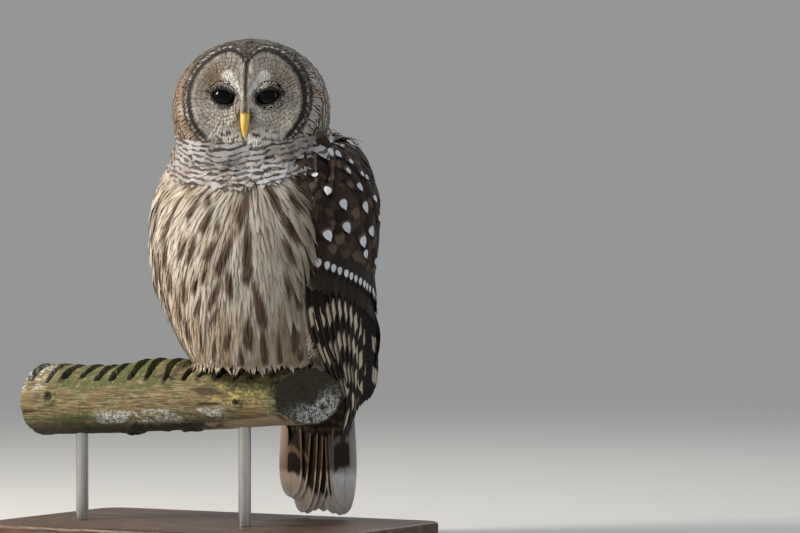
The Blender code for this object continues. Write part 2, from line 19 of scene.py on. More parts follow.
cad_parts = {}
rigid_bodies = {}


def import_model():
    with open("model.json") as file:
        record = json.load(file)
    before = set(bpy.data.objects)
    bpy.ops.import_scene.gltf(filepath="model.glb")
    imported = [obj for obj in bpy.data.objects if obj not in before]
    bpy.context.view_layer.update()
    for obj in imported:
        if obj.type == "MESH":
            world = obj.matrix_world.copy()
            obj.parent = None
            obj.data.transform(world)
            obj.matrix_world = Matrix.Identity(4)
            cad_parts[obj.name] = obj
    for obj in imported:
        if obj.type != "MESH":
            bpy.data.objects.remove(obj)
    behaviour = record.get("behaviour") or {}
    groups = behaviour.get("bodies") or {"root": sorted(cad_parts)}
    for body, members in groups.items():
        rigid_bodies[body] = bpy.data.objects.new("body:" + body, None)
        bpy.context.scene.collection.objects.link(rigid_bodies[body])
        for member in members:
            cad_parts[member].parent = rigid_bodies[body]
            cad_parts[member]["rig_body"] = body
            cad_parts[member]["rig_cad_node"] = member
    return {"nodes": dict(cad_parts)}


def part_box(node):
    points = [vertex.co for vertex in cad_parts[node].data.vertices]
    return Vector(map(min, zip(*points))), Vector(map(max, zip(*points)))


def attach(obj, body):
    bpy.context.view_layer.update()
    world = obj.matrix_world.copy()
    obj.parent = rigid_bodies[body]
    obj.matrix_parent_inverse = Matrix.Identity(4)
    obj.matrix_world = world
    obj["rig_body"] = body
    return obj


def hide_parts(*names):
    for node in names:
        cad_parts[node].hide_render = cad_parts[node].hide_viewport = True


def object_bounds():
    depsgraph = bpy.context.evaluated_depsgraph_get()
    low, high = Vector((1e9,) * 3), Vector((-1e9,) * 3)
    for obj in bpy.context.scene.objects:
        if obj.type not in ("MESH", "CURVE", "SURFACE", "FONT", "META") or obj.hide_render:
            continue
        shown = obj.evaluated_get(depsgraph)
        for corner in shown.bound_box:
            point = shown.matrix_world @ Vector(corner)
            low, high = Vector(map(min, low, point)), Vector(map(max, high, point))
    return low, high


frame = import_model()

cad_box = [list(corner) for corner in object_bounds()]
print("the solids reach from", cad_box[0], "to", cad_box[1])


# %% [markdown]
# The owl has its own directions. Its spine stands over the middle between its legs, and its head
# is turned to its left. Both are measured on the solids, so nothing here repeats a size that the
# solids already have.

# %% The owl's own places
def middle(node):
    low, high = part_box(node)
    return (low + high) / 2


UP, DOWN = Vector((0, 0, 1)), np.array([0, 0, -1.0])
SIDES = ("left", "right")
OWL = Vector((
    (middle("leg_left").x + middle("leg_right").x) / 2, middle("stand_rod_left").y, 0.0
))
EYES = {side: middle("eye_" + side) for side in SIDES}
EYE_RADIUS = (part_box("eye_left")[1].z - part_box("eye_left")[0].z) / 2
HEAD_LEFT = (EYES["left"] - EYES["right"]).normalized()
HEAD_AHEAD = HEAD_LEFT.cross(UP)
EYES_AHEAD, EYES_UP = 0.0450, 0.0098  # from the middle of the head
HEAD = (EYES["left"] + EYES["right"]) / 2 - HEAD_AHEAD * EYES_AHEAD
HEAD.z -= EYES_UP
SPINE_BACK = 0.016  # the trunk's axis lies this far behind the legs' middle
print("owl at", OWL, "head at", HEAD)


def smooth(low, high, value):
    t = np.clip((value - low) / (high - low), 0.0, 1.0)
    return t * t * (3.0 - 2.0 * t)


def blend(a, b, share):
    return a + (b - a) * share


def painted(colour, over, share):
    """Rows of colours with another colour over them, by one share a row."""
    return blend(colour, over, share[:, None])


def rgb(*values):
    return np.array(values)


def round_body(turn, height, out=0.0):
    """A place about the trunk's axis: turn is 0 at the breast and 90 degrees at its left."""
    angle = math.radians(turn)
    return Vector((
        OWL.x + out * math.sin(angle), OWL.y + SPINE_BACK - out * math.cos(angle), height
    ))


def turn_of(places):
    """The turn about the trunk's axis of each place."""
    return np.degrees(np.arctan2(
        places[:, 0] - OWL.x, -(places[:, 1] - OWL.y - SPINE_BACK)))


def from_head(side, up, ahead):
    return HEAD + HEAD_LEFT * side + UP * up + HEAD_AHEAD * ahead


def on_head(places):
    """Places as side, up and ahead of the head's middle, one row each."""
    away = np.asarray(places) - np.array(HEAD)
    return np.stack([away @ np.array(HEAD_LEFT), away[..., 2], away @ np.array(HEAD_AHEAD)])


DISC_SIDE, DISC_HIGH, DISC_UP = 0.0545, 0.0500, 0.008


def disc_share(side, up):
    """1 along the rim of the two facial discs, less inside them."""
    high = (up - DISC_UP) / DISC_HIGH
    notch = 0.16 * np.exp(-((side / 0.014) ** 2)) * smooth(0.0, 1.0, high)
    return np.hypot(side / DISC_SIDE, high) + notch


# %% [markdown]
# ## Nodes
# Every finish here is worked out by nodes. A `Value` is one output of a node, and a sign between
# two values adds a Math node, so that a formula reads like one. `band` gives a soft step between
# two values, and `layered` lays colours one over the other.

# %% Node helpers
class Value:
    def __init__(self, tree, socket):
        self.tree, self.socket = tree, socket

    def math(self, operation, *others):
        return add(self.tree, "Math", self, *others, operation=operation)

    def __add__(self, other):
        return self.math("ADD", other)

    def __sub__(self, other):
        return self.math("SUBTRACT", other)

    def __mul__(self, other):
        return self.math("MULTIPLY", other)


def plug(tree, socket, value):
    """Sets a socket, or joins it to another node's output."""
    if isinstance(value, Value):
        tree.links.new(value.socket, socket)
    elif isinstance(value, tuple) and len(value) == 3 and socket.type == "RGBA":
        socket.default_value = (*value, 1.0)
    else:
        socket.default_value = value


def add(tree, kind, *values, output=0, named=(), **settings):
    """Adds a node with these settings, and inputs in their order or by name."""
    node = tree.nodes.new("ShaderNode" + kind)
    for key, value in settings.items():
        setattr(node, key, value)
    for socket, value in zip(node.inputs, values):
        plug(tree, socket, value)
    for name, value in dict(named).items():
        plug(tree, node.inputs[name], value)
    return Value(tree, node.outputs[output])


def band(value, low, high, start=0.0, end=1.0):
    """A soft step: start below low, end above high."""
    return add(value.tree, "MapRange", output="Result", interpolation_type="SMOOTHSTEP", named={
        "Value": value, "From Min": low, "From Max": high, "To Min": start, "To Max": end})


def tint(share, a, b):
    return add(share.tree, "Mix", output="Result", data_type="RGBA", blend_type="MIX",
               named={"Factor": share, "A": a, "B": b})


def layered(base, *layers):
    for share, over in layers:
        base = tint(share, base, over)
    return base


def grain(place, scale, detail=3.0, rough=0.55, warp=0.0):
    """Noise; a scale of three numbers stretches it."""
    if isinstance(scale, tuple):
        place = add(place.tree, "Mapping", output="Vector", named={
            "Vector": place, "Location": (0.0, 0.0, 0.0), "Rotation": (0.0, 0.0, 0.0),
            "Scale": scale})
        scale = 1.0
    return add(place.tree, "TexNoise", output="Fac", named={
        "Vector": place, "Scale": scale, "Detail": detail, "Roughness": rough,
        "Distortion": warp})


def scaled(value, share):
    return add(value.tree, "VectorMath", value, operation="SCALE", named={"Scale": share})


def split(value):
    """The three parts of a vector."""
    node = add(value.tree, "SeparateXYZ", value).socket.node
    return [Value(value.tree, socket) for socket in node.outputs]


def object_place(tree):
    return add(tree, "TexCoord", output="Object")


def measured(tree, name, output="Fac"):
    """An attribute that the mesh carries."""
    return add(tree, "Attribute", output=output, attribute_name=name)


def new_finish(name):
    finish = bpy.data.materials.new(name)
    finish.use_nodes = True
    return finish, finish.node_tree


def finished(finish, colour, rough, height=None, depth=0.0, **constants):
    """Joins these values to the finish's shader."""
    tree = finish.node_tree
    shader = tree.nodes["Principled BSDF"]
    plug(tree, shader.inputs["Base Color"], colour)
    plug(tree, shader.inputs["Roughness"], rough)
    for name, value in constants.items():
        shader.inputs[name.replace("_", " ")].default_value = value
    if height is not None:
        plug(tree, shader.inputs["Normal"], add(tree, "Bump", output="Normal", named={
            "Height": height, "Distance": depth, "Strength": 1.0}))
    return Value(tree, shader.outputs["BSDF"])


# %% [markdown]
# ## Camera, floor and light
# The camera stands to the owl's left of straight ahead, a little above it, far off with a long
# lens. The light is a soft warm key from the left, a cool fill from the right and a weak light
# from above. The floor fades into the backdrop's colour with distance, so no horizon shows.

# %% Camera
VIEW_TURN, VIEW_RISE, VIEW_AWAY = 30, 2, 6.0
FRAME_WIDTH, SENSOR = 0.76, 36.0  # metres across the picture at the owl
AIM_SIDE, AIM_UP = 0.1824, 0.2593


def new_object(name, data):
    made = bpy.data.objects.new(name, data)
    bpy.context.scene.collection.objects.link(made)
    return made


def looking(name, data, aim, turn, rise, away):
    """A camera or lamp that looks at a place; turn is seen from above, from -Y to +X."""
    turn, rise = math.radians(turn), math.radians(rise)
    towards = Vector((
        math.sin(turn) * math.cos(rise), -math.cos(turn) * math.cos(rise), math.sin(rise)
    ))
    made = new_object(name, data)
    made.location = aim + towards * away
    made.rotation_euler = towards.to_track_quat("Z", "Y").to_euler()
    return made


lens = bpy.data.cameras.new("camera")
lens.sensor_width = SENSOR
lens.lens = SENSOR * VIEW_AWAY / FRAME_WIDTH
lens.clip_end = 200.0
across_view = Vector((math.cos(math.radians(VIEW_TURN)), math.sin(math.radians(VIEW_TURN)), 0))
bpy.context.scene.camera = looking(
    "camera", lens, across_view * AIM_SIDE + UP * AIM_UP, VIEW_TURN, VIEW_RISE, VIEW_AWAY)
bpy.context.scene.view_settings.view_transform = "Standard"
print("camera at", bpy.context.scene.camera.location)

# %% Backdrop and floor
BACKDROP, BACKDROP_STRENGTH = (0.60, 0.61, 0.60), 0.50
world = bpy.data.worlds.new("studio")
world.use_nodes = True
world.node_tree.nodes["Background"].inputs["Color"].default_value = (*BACKDROP, 1)
world.node_tree.nodes["Background"].inputs["Strength"].default_value = BACKDROP_STRENGTH
bpy.context.scene.world = world

bpy.ops.mesh.primitive_circle_add(vertices=64, radius=60.0, fill_type="NGON")
floor = bpy.context.object
floor.name = "floor"
floor_finish, tree = new_finish("studio_floor")
near = finished(floor_finish, (0.66, 0.66, 0.65), 0.8)
far = add(tree, "Emission", BACKDROP, BACKDROP_STRENGTH)
distance = add(tree, "VectorMath", object_place(tree), output="Value", operation="LENGTH")
plug(tree, tree.nodes["Material Output"].inputs["Surface"],
     add(tree, "MixShader", band(distance, 0.5, 3.0), near, far))
floor.data.materials.append(floor_finish)

# %% Lights
for name, turn, rise, away, size, power, light_colour in (
    ("key", -48, 30, 1.7, 0.45, 36.0, (1.0, 0.90, 0.77)),
    ("fill", 100, 15, 2.2, 1.2, 5.0, (0.78, 0.88, 1.0)),
    ("top", 30, 75, 1.8, 0.7, 7.0, (0.88, 0.93, 1.0)),
    ("back", 190, 35, 2.2, 1.0, 9.0, (0.95, 0.97, 1.0)),
):
    lamp = bpy.data.lights.new(name, "AREA")
    lamp.shape, lamp.size, lamp.energy, lamp.color = "SQUARE", size, power, light_colour
    looking(name, lamp, Vector((OWL.x, OWL.y, 0.28)), turn, rise, away)


# %% [markdown]
# ## Feather finishes
# A feather's vane is made of barbs that run slantwise from the shaft to the edge, and each kind
# of feather has its own marks: bars across, one pale spot near the tip, or a pale fringe. One
# node group draws all of these from the vane's own map, where x runs across and y from root to
# tip. Each finish then places the group with its own values.

# %% The group that marks a feather
GROUP_INPUTS = (
    ("Vane", "Vector", None), ("Ground", "Color", (0.5, 0.45, 0.4, 1)),
    ("Mark", "Color", (0.1, 0.06, 0.04, 1)), ("Pale", "Color", (0.7, 0.7, 0.7, 1)),
    *((name, "Float", value) for name, value in (
        ("Tone", 0.5), ("Bars", 0.0), ("Bar Count", 4.0), ("Bar Phase", 0.0),
        ("Bar Share", 0.0), ("Web From", -2.0), ("Web To", 2.0), ("Bar Start", -1.0),
        ("Bar End", 2.0), ("Edge", 0.0), ("Bar Soft", 0.28), ("Hand", 1.0), ("Spot", 0.0),
        ("Fringe", 0.0), ("Shaft", 0.0), ("Barbs", 0.3))),
)


def marked_feather():
    group = bpy.data.node_groups.new("marked_feather", "ShaderNodeTree")
    for name, kind, value in GROUP_INPUTS:
        socket = group.interface.new_socket(
            name, in_out="INPUT", socket_type="NodeSocket" + kind)
        if value is not None:
            socket.default_value = value
    for name, kind in (("Color", "Color"), ("Height", "Float")):
        group.interface.new_socket(name, in_out="OUTPUT", socket_type="NodeSocket" + kind)
    into = {s.name: Value(group, s) for s in group.nodes.new("NodeGroupInput").outputs}
    out = group.nodes.new("NodeGroupOutput").inputs
    x, y, _ = split(into["Vane"])
    signed = x * 2.0 - 1.0
    across = signed.math("ABSOLUTE")
    # Barbs: fine noise in lines that slant from the shaft towards the tip.
    slant = across * -0.14 + y
    line = add(group, "CombineXYZ", slant * 34.0, signed * 1.6, into["Tone"] * 91.0)
    barbs = grain(line, 1.0, 3.0, 0.7)
    ragged = barbs * 0.34 - 0.17
    # Bars across, bent a little towards the tip at the edges.
    bent = across * across * -0.05 + y + ragged * 0.16
    wave = ((bent * into["Bar Count"] + into["Bar Phase"]) * (2 * math.pi)).math("SINE")
    soft = into["Bar Soft"]
    bars = band(wave + into["Bar Share"], soft * -1.0, soft)
    handed = signed * into["Hand"] + ragged * 0.5
    bars = bars * band(handed - into["Web From"], -0.05, 0.05)
    bars = bars * band(handed - into["Web To"], -0.05, 0.05, 1.0, 0.0)
    bars = bars * band(y - into["Bar Start"], -0.01, 0.01)
    bars = bars * band(bent - into["Bar End"], -0.02, 0.01, 1.0, 0.0)
    edge = band(handed, 0.90, 0.94) * into["Edge"]
    bars = bars.math("MAXIMUM", edge) * into["Bars"]
    # One spot near the tip, off the shaft.
    aside = (x - 0.5 + into["Hand"] * -0.04) * 0.46
    along = (y - 0.80) * 1.35
    off = (aside * aside + along * along).math("SQRT") + ragged * 0.16
    spot = band(off, into["Spot"] - 0.03, into["Spot"] + 0.015, 1.0, 0.0)
    spot = spot * band(into["Spot"], 0.01, 0.03)
    # The pale fringe round the tip.
    rim = across.math("POWER", 3.0) * 0.10 + y + ragged * 0.25
    inner = into["Fringe"] * -1.0 + 1.0
    fringe = band(rim, inner - 0.03, inner + 0.03) * band(into["Fringe"], 0.005, 0.02)
    marked = layered(
        into["Ground"], (bars, into["Mark"]), (spot.math("MAXIMUM", fringe), into["Pale"]),
        (band(across, 0.03, 0.09, 1.0, 0.0) * into["Shaft"], (0.05, 0.035, 0.025)))
    light = ((barbs - 0.5) * into["Barbs"] + 1.0) * (into["Tone"] * 0.24 + 0.88)
    plug(group, out["Color"], scaled(marked, light))
    plug(group, out["Height"], barbs)
    return group


FEATHER_MARKS = marked_feather()


def broken_bars(period, wander, patch, dark, breaks, broken=1.2, share=0.0, soft=0.35,
                loose=0.2):
    """Draws dark bars across the distance `reach` that the mesh carries. They wander in patches
    and break up, as marks do that run on over many small feathers."""
    def draw(tree, ground):
        place = object_place(tree)
        drift = measured(tree, "tone") * loose + grain(place, 1.0 / patch, 2.0, 0.5) * wander
        wave = ((measured(tree, "reach") * (1.0 / period) + drift) * (2 * math.pi)).math("SINE")
        wave = (grain(place, 1.0 / breaks, 2.0, 0.5) - 0.5) * (4 * broken) + wave
        bars = band(wave, share - soft, share + soft) * measured(tree, "bars")
        return tint(bars, ground, dark)
    return draw


def feather_finish(name, depth=0.0005, sheen=0.12, specular=0.25, drawn=None, **values):
    """A finish of the marked feather; the ground colour is the one that the mesh carries."""
    finish, tree = new_finish(name)
    marks = tree.nodes.new("ShaderNodeGroup")
    marks.node_tree = FEATHER_MARKS
    ground = measured(tree, "ground", "Color")
    joined = {"Vane": add(tree, "UVMap", output="UV", uv_map="Vane"),
              "Ground": drawn(tree, ground) if drawn else ground,
              "Tone": measured(tree, "tone")}
    for key, value in {**joined, **values}.items():
        value = measured(tree, value) if isinstance(value, str) else value
        plug(tree, marks.inputs[key.replace("_", " ")], value)
    height = Value(tree, marks.outputs["Height"])
    finished(finish, Value(tree, marks.outputs["Color"]), band(height, 0.2, 0.8, 0.62, 0.9),
             height, depth, Sheen_Weight=sheen, Specular_IOR_Level=specular)
    return finish


print("the feather group has", len(FEATHER_MARKS.nodes), "nodes")


# %% [markdown]
# ## The skin
# Under its feathers the owl is one closed skin. The solids of head, neck, trunk, wing arms, legs
# and feet are copied, joined and covered with one fine shell, and that shell is drawn inwards by
# the depth of the coat, so that the feathers' tips come back out to the outline of the solids.

# %% Working on meshes
def choose(*pieces):
    """Selects these pieces only, and makes the last one active."""
    bpy.ops.object.select_all(action="DESELECT")
    for piece in pieces:
        piece.select_set(True)
    bpy.context.view_layer.objects.active = pieces[-1]


def whole_mesh(piece, operator, **settings):
    """Runs an operator of the edit mode on all of a piece."""
    choose(piece)
    bpy.ops.object.mode_set(mode="EDIT")
    bpy.ops.mesh.select_all(action="SELECT")
    operator(**settings)
    bpy.ops.object.mode_set(mode="OBJECT")


def turn_outwards(piece):
    whole_mesh(piece, bpy.ops.mesh.normals_make_consistent, inside=False)


def copy_of(name, nodes):
    """One new object of the solids' copies, whose loose triangles are merged."""
    copies = []
    for node in nodes:
        piece = frame["nodes"][node].copy()
        piece.data = piece.data.copy()
        piece.parent = None
        piece.hide_render = False
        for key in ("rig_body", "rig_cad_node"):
            del piece[key]
        bpy.context.scene.collection.objects.link(piece)
        copies.append(piece)
    choose(*copies)
    if len(nodes) > 1:
        bpy.ops.object.join()
    piece = bpy.context.object
    piece.name = name
    whole_mesh(piece, bpy.ops.mesh.remove_doubles, threshold=0.00002)
    piece.data.materials.clear()
    return piece


def applied(piece, kind, **settings):
    """Adds a modifier with these settings and applies it."""
    modifier = piece.modifiers.new(kind.title(), kind)
    for key, value in settings.items():
        setattr(modifier, key, value)
    bpy.context.view_layer.objects.active = piece
    bpy.ops.object.modifier_apply(modifier=modifier.name)


def rows_of(items, key="co"):
    flat = np.empty(len(items) * 3, np.float32)
    items.foreach_get(key, flat)
    return flat.reshape(-1, 3).astype(float)


def places_of(piece):
    return rows_of(piece.data.vertices)


def normals_of(piece):
    return rows_of(piece.data.vertex_normals, "vector")


def move_to(piece, places):
    piece.data.vertices.foreach_set("co", np.asarray(places, np.float32).ravel())
    piece.data.update()


def carry(mesh, name, values):
    """Gives the mesh one number, or one colour, for each of its points."""
    if np.ndim(values) == 2:
        values = np.concatenate([values, np.ones((len(values), 1))], axis=1)
        layer, key = mesh.attributes.new(name, "FLOAT_COLOR", "POINT"), "color"
    else:
        layer, key = mesh.attributes.new(name, "FLOAT", "POINT"), "value"
    layer.data.foreach_set(key, values.astype(np.float32).ravel())


class Surface:
    """Finds the nearest place of a mesh, or the place that a straight line meets first."""

    def __init__(self, piece):
        self.tree = BVHTree.FromPolygons(
            [tuple(v) for v in places_of(piece)], [tuple(p.vertices) for p in piece.data.polygons]
        )
        soft = normals_of(piece)
        self.normals = [
            Vector(soft[list(p.vertices)].mean(axis=0)).normalized() for p in piece.data.polygons
        ]

    def near(self, place):
        found, _, face, _ = self.tree.find_nearest(place)
        return found, self.normals[face]

    def hit(self, start, direction):
        found, _, face, _ = self.tree.ray_cast(start, direction)
        return (None, None) if found is None else (found, self.normals[face])


# %% The shell over the flesh
SHELL = 0.0021
FEET = ("leg_left", "leg_right", "foot_left", "foot_right")


def upper_copy(name, nodes, low):
    """The part of these solids above a height; what hangs below it is feathers only."""
    piece = copy_of(name, nodes)
    whole_mesh(piece, bpy.ops.mesh.bisect, plane_co=(0, 0, low), plane_no=(0, 0, -1),
               use_fill=True, clear_outer=True)
    return piece


wing_arms = upper_copy("wing_arms", ["wing_left", "wing_right"], 0.2150)
tail_root = upper_copy("tail_root", ["tail"], 0.1050)
skin = copy_of("skin", ["head", "neck", "trunk", *FEET])
choose(wing_arms, tail_root, skin)
bpy.ops.object.join()
applied(skin, "REMESH", mode="VOXEL", voxel_size=SHELL)
applied(skin, "SMOOTH", factor=0.5, iterations=5)
print("skin:", len(skin.data.polygons), "faces")

# %% Which solid each place of the skin belongs to
FLESH = ("head", "neck", "trunk", "wing_left", "wing_right", "tail", *FEET)
solids = {}
for node in FLESH:
    source = copy_of("source", [node])
    solids[node] = Surface(source)
    bpy.data.objects.remove(source)


def owner_of(place):
    """The solid whose surface is nearest."""
    return min(solids, key=lambda node: solids[node].tree.find_nearest(place)[3])


# %% Drawing the shell in by the depth of the coat
COAT = {"head": 0.0036, "neck": 0.0050, "trunk": 0.0048, "wing_left": 0.0042,
        "wing_right": 0.0042, "tail": 0.0030}
FACE_COAT, FOOT_COAT = 0.0014, 0.0008

rest = places_of(skin)
depth = np.array([COAT.get(owner_of(Vector(p)), FOOT_COAT) for p in rest])
side, up, ahead = on_head(rest)
in_face = (1.0 - smooth(0.90, 1.15, disc_share(side, up))) * (ahead > 0.020)
depth = blend(depth, FACE_COAT, in_face)
ends = np.array([e.vertices[:] for e in skin.data.edges])
for _ in range(12):  # softens the step between one depth and the next
    total, count = np.zeros(len(depth)), np.zeros(len(depth))
    for a, b in ((0, 1), (1, 0)):
        np.add.at(total, ends[:, a], depth[ends[:, b]])
        np.add.at(count, ends[:, a], 1)
    depth = blend(depth, total / np.maximum(count, 1), 0.6)
move_to(skin, rest - normals_of(skin) * depth[:, None])
applied(skin, "SMOOTH", factor=0.5, iterations=3)
print("coat depth from", depth.min(), "to", depth.max())

# %% [markdown]
# The lids belong to the skin: a dark band round each eye that follows the ball and dips behind
# the face's fine feathers. The upper lid hangs low, which gives the owl its calm look.

# %% Eyelids
LID_HALF, LID_ABOVE, LID_BELOW, LID_MIDDLE = 0.0112, 0.0056, 0.0072, 0.0004
LID_TILT = 0.26  # the outer corner stands higher than the inner one
LID_OUTER, LID_ROUND, LID_POINTS = 0.0137, 1.8, 56
EYE_BULGE = 0.0010  # how far the clear front stands out of the ball
# Rows from the inside of the lid to its outer edge: share of the way, and height off the ball.
LID_ROWS = ((0.0, -0.0002), (0.0, 0.0006), (0.12, 0.0011), (0.40, 0.0011), (0.70, 0.0009),
            (1.0, 0.0003), (1.0, -0.0008), (0.4, -0.0006))


def turned_back(out, up):
    """Places about an eye, measured along its slanting opening and across it."""
    return (out * math.cos(LID_TILT) + up * math.sin(LID_TILT),
            up * math.cos(LID_TILT) - out * math.sin(LID_TILT))


def lid_opening(turns):
    """How far the opening reaches from its middle, in each direction from the outward one."""
    across, up = turned_back(np.cos(turns), np.sin(turns))
    high = np.where(up > 0, LID_ABOVE, LID_BELOW)
    return ((np.abs(across) / LID_HALF) ** LID_ROUND
            + (np.abs(up) / high) ** LID_ROUND) ** (-1 / LID_ROUND)


def eyelids(side):
    turns = np.linspace(0, 2 * math.pi, LID_POINTS, endpoint=False)
    places, faces = [], []
    for ring, (share, off) in enumerate(LID_ROWS):
        outward = turns if side == "left" else math.pi - turns
        for k, (turn, opening) in enumerate(zip(turns, lid_opening(outward))):
            reach = blend(opening, LID_OUTER, share)
            across = reach * math.cos(turn)
            high = reach * math.sin(turn) + LID_MIDDLE * (1 - share)
            ball = EYE_RADIUS + EYE_BULGE + off
            deep = math.sqrt(max(ball**2 - across**2 - high**2, 1e-6))
            places.append(EYES[side] + HEAD_LEFT * across + UP * high + HEAD_AHEAD * deep)
            base, after = ring * LID_POINTS, (ring + 1) % len(LID_ROWS) * LID_POINTS
            n = (k + 1) % LID_POINTS
            faces.append((base + k, base + n, after + n, after + k))
    mesh = bpy.data.meshes.new("lids_" + side)
    mesh.from_pydata([tuple(p) for p in places], [], faces)
    piece = new_object("lids_" + side, mesh)
    turn_outwards(piece)
    bpy.ops.object.shade_smooth()
    return piece


choose(*(eyelids(side) for side in SIDES), skin)
bpy.ops.object.join()
hide = Surface(skin)
print("skin with lids:", len(skin.data.polygons), "faces")


# %% [markdown]
# ## Feathers
# Each feather is a thin closed vane, not a flat card: a few points across its arched upper side
# and one below the shaft. It is laid by walking from its root over the skin in the direction in
# which that part of the coat lies, so it bends with the body, and it rises slowly from root to
# tip, which puts every tip over the roots of the feathers that follow. Where the skin turns away,
# as at the hem of the belly, the feather goes straight on and hangs free.

# %% Laying the shafts over a surface
def unit(vectors):
    return vectors / (np.linalg.norm(vectors, axis=-1, keepdims=True) + 1e-12)


def lay(surface, roots, lies, lengths, rows, hold=0.34):
    """The shafts' places and the directions out of the skin there, as arrays."""
    shafts = np.empty((len(roots), rows, 3))
    outs = np.empty((len(roots), rows, 3))
    for i, (root, lie) in enumerate(zip(roots, lies)):
        place, out = surface.near(Vector(root))
        ahead = Vector(lie)
        ahead = (ahead - out * ahead.dot(out)).normalized()
        step = lengths[i] / (rows - 1)
        for k in range(rows):
            shafts[i, k], outs[i, k] = place, out
            guess = place + ahead * step
            found, turned = surface.near(guess)
            if (found - guess).length < hold * step and turned.dot(out) > 0.6:
                place, out = found, (turned + out * 0.5).normalized()
            else:
                place = guess
            ahead = (ahead - out * ahead.dot(out)).normalized()
    return shafts, outs


def along_vane(rows, crowd=1.25):
    """Shares from root to near the tip, closer together towards the tip."""
    share = np.linspace(0.0, 1.0, rows)
    return 1.0 - (1.0 - share) ** crowd


def vane_width(share, root=0.30, point=2.5, power=0.5):
    """Half width as a share: widens from the root, and rounds off or points at the tip."""
    opening = root + (1.0 - root) * np.clip(share / 0.35, 0.0, 1.0) ** 0.7
    return opening * np.clip(1.0 - share**point, 0.0, 1.0) ** power


# %% [markdown]
# The map that a later bake uses gives each feather a small patch at the place of its root on an
# unwrap of the skin: round the trunk by turn and height, and over the head by the angle from the
# bill and the direction round it. Rows of long feathers lie along a line instead.

# %% Making the vanes' mesh
BAKE_PATCH = 0.003


def trunk_plot(roots):
    return np.stack([turn_of(roots) / 360.0 + 0.5, roots[:, 2]], axis=1)


def head_plot(roots):
    side, up, ahead = on_head(roots)
    angle = np.arccos(ahead / np.sqrt(side**2 + up**2 + ahead**2)) / math.pi
    flat = np.maximum(np.hypot(side, up), 1e-9)
    return np.stack([angle * side / flat, angle * up / flat], axis=1)


def line_plot(count):
    return np.stack([np.linspace(0, 1, count)] * 2, axis=1)


def vanes(name, finish, shafts, outs, widths, lifts, plot, ground, tone, tops=5, camber=0.16,
          thick=0.0004, shares=None, tilt=0.0, **carried):
    """One mesh of closed vanes. widths and lifts are in metres, one row of shares per feather.
    ground and the carried values are one per feather, or a function of the places. tilt raises
    one edge and lowers the other, so that feathers overlap like shingles."""
    count, rows, _ = shafts.shape
    ahead = unit(np.gradient(shafts, axis=1))
    sides = unit(np.cross(ahead, outs))
    spread = np.linspace(-1.0, 1.0, tops)
    ring, hump = np.append(spread, 0.0), np.append(1.0 - spread**2, 1.0)
    below = np.append(np.zeros(tops), 1.0)
    half = widths[:, :, None]
    lateral = ring[None, None, :] * half
    height = lifts[:, :, None] + camber * half * hump - thick * below + tilt * lateral
    grid = (shafts[:, :, None, :] + sides[:, :, None, :] * lateral[..., None]
            + outs[:, :, None, :] * height[..., None])
    points = tops + 1
    step = np.linalg.norm(shafts[:, -1] - shafts[:, -2], axis=1, keepdims=True)
    tips = shafts[:, -1] + ahead[:, -1] * step * 0.25 + outs[:, -1] * lifts[:, -1:]
    places = np.concatenate([grid.reshape(count, rows * points, 3), tips[:, None, :]], axis=1)
    per = rows * points + 1
    around = [(j, (j + 1) % points) for j in range(points)]
    quads = [(k * points + j, k * points + n, (k + 1) * points + n, (k + 1) * points + j)
             for k in range(rows - 1) for j, n in around]
    tris = [((rows - 1) * points + j, (rows - 1) * points + n, per - 1) for j, n in around]
    tris += [(j, tops, j + 1) for j in range(tops - 1)]
    base = (np.arange(count) * per)[:, None, None]
    quads, tris = ((np.array(f)[None] + base).reshape(-1, len(f[0])) for f in (quads, tris))
    share = np.linspace(0.0, 1.0, rows) if shares is None else shares
    u = np.tile(np.append((spread + 1.0) / 2.0, 0.5), rows)
    flat = np.stack([np.append(u, 0.5), np.append(np.repeat(share, points), 1.0)], axis=1)

    def spread_out(value):
        """One value per point, from one per feather or from a function of the places."""
        if callable(value):
            return value(places.reshape(-1, 3))
        return np.repeat(value, per, axis=0)

    def new_map(key, values):
        layer = mesh.uv_layers.new(name=key)
        layer.data.foreach_set("uv", values[corners].astype(np.float32).ravel())

    mesh = bpy.data.meshes.new(name)
    corners = np.concatenate([quads.ravel(), tris.ravel()])
    starts = np.concatenate([
        np.arange(len(quads)) * 4, len(quads) * 4 + np.arange(len(tris)) * 3
    ])
    mesh.vertices.add(count * per)
    mesh.vertices.foreach_set("co", places.astype(np.float32).ravel())
    mesh.loops.add(len(corners))
    mesh.loops.foreach_set("vertex_index", corners.astype(np.int32))
    mesh.polygons.add(len(starts))
    mesh.polygons.foreach_set("loop_start", starts.astype(np.int32))
    mesh.update(calc_edges=True)
    new_map("Vane", np.tile(flat, (count, 1)))
    low, high = plot.min(axis=0), plot.max(axis=0)
    roots = 0.01 + 0.98 * (plot - low) / np.maximum(high - low, 1e-6)
    new_map("OFBake", (roots[:, None, :] + BAKE_PATCH * (flat[None] - 0.5)).reshape(-1, 2))
    for key, value in {"ground": ground, "tone": tone, **carried}.items():
        carry(mesh, key, spread_out(value))
    mesh.validate()
    mesh.shade_smooth()
    mesh.set_sharp_from_angle(angle=math.radians(60))
    mesh.materials.append(finish)
    mesh.calc_loop_triangles()
    print(name, count, "feathers,", len(mesh.loop_triangles), "triangles")
    return new_object(name, mesh)


# %% [markdown]
# Most coats are laid in the same way, so one function lays them. The feathers of a coat vary a
# little: `stray` turns them, and `long`, `broad`, `loose` and `shades` are the ranges in which
# their length, width, rise and shade vary.

# %% One coat
FINE = {"tops": 3, "camber": 0.3, "thick": 0.0003}


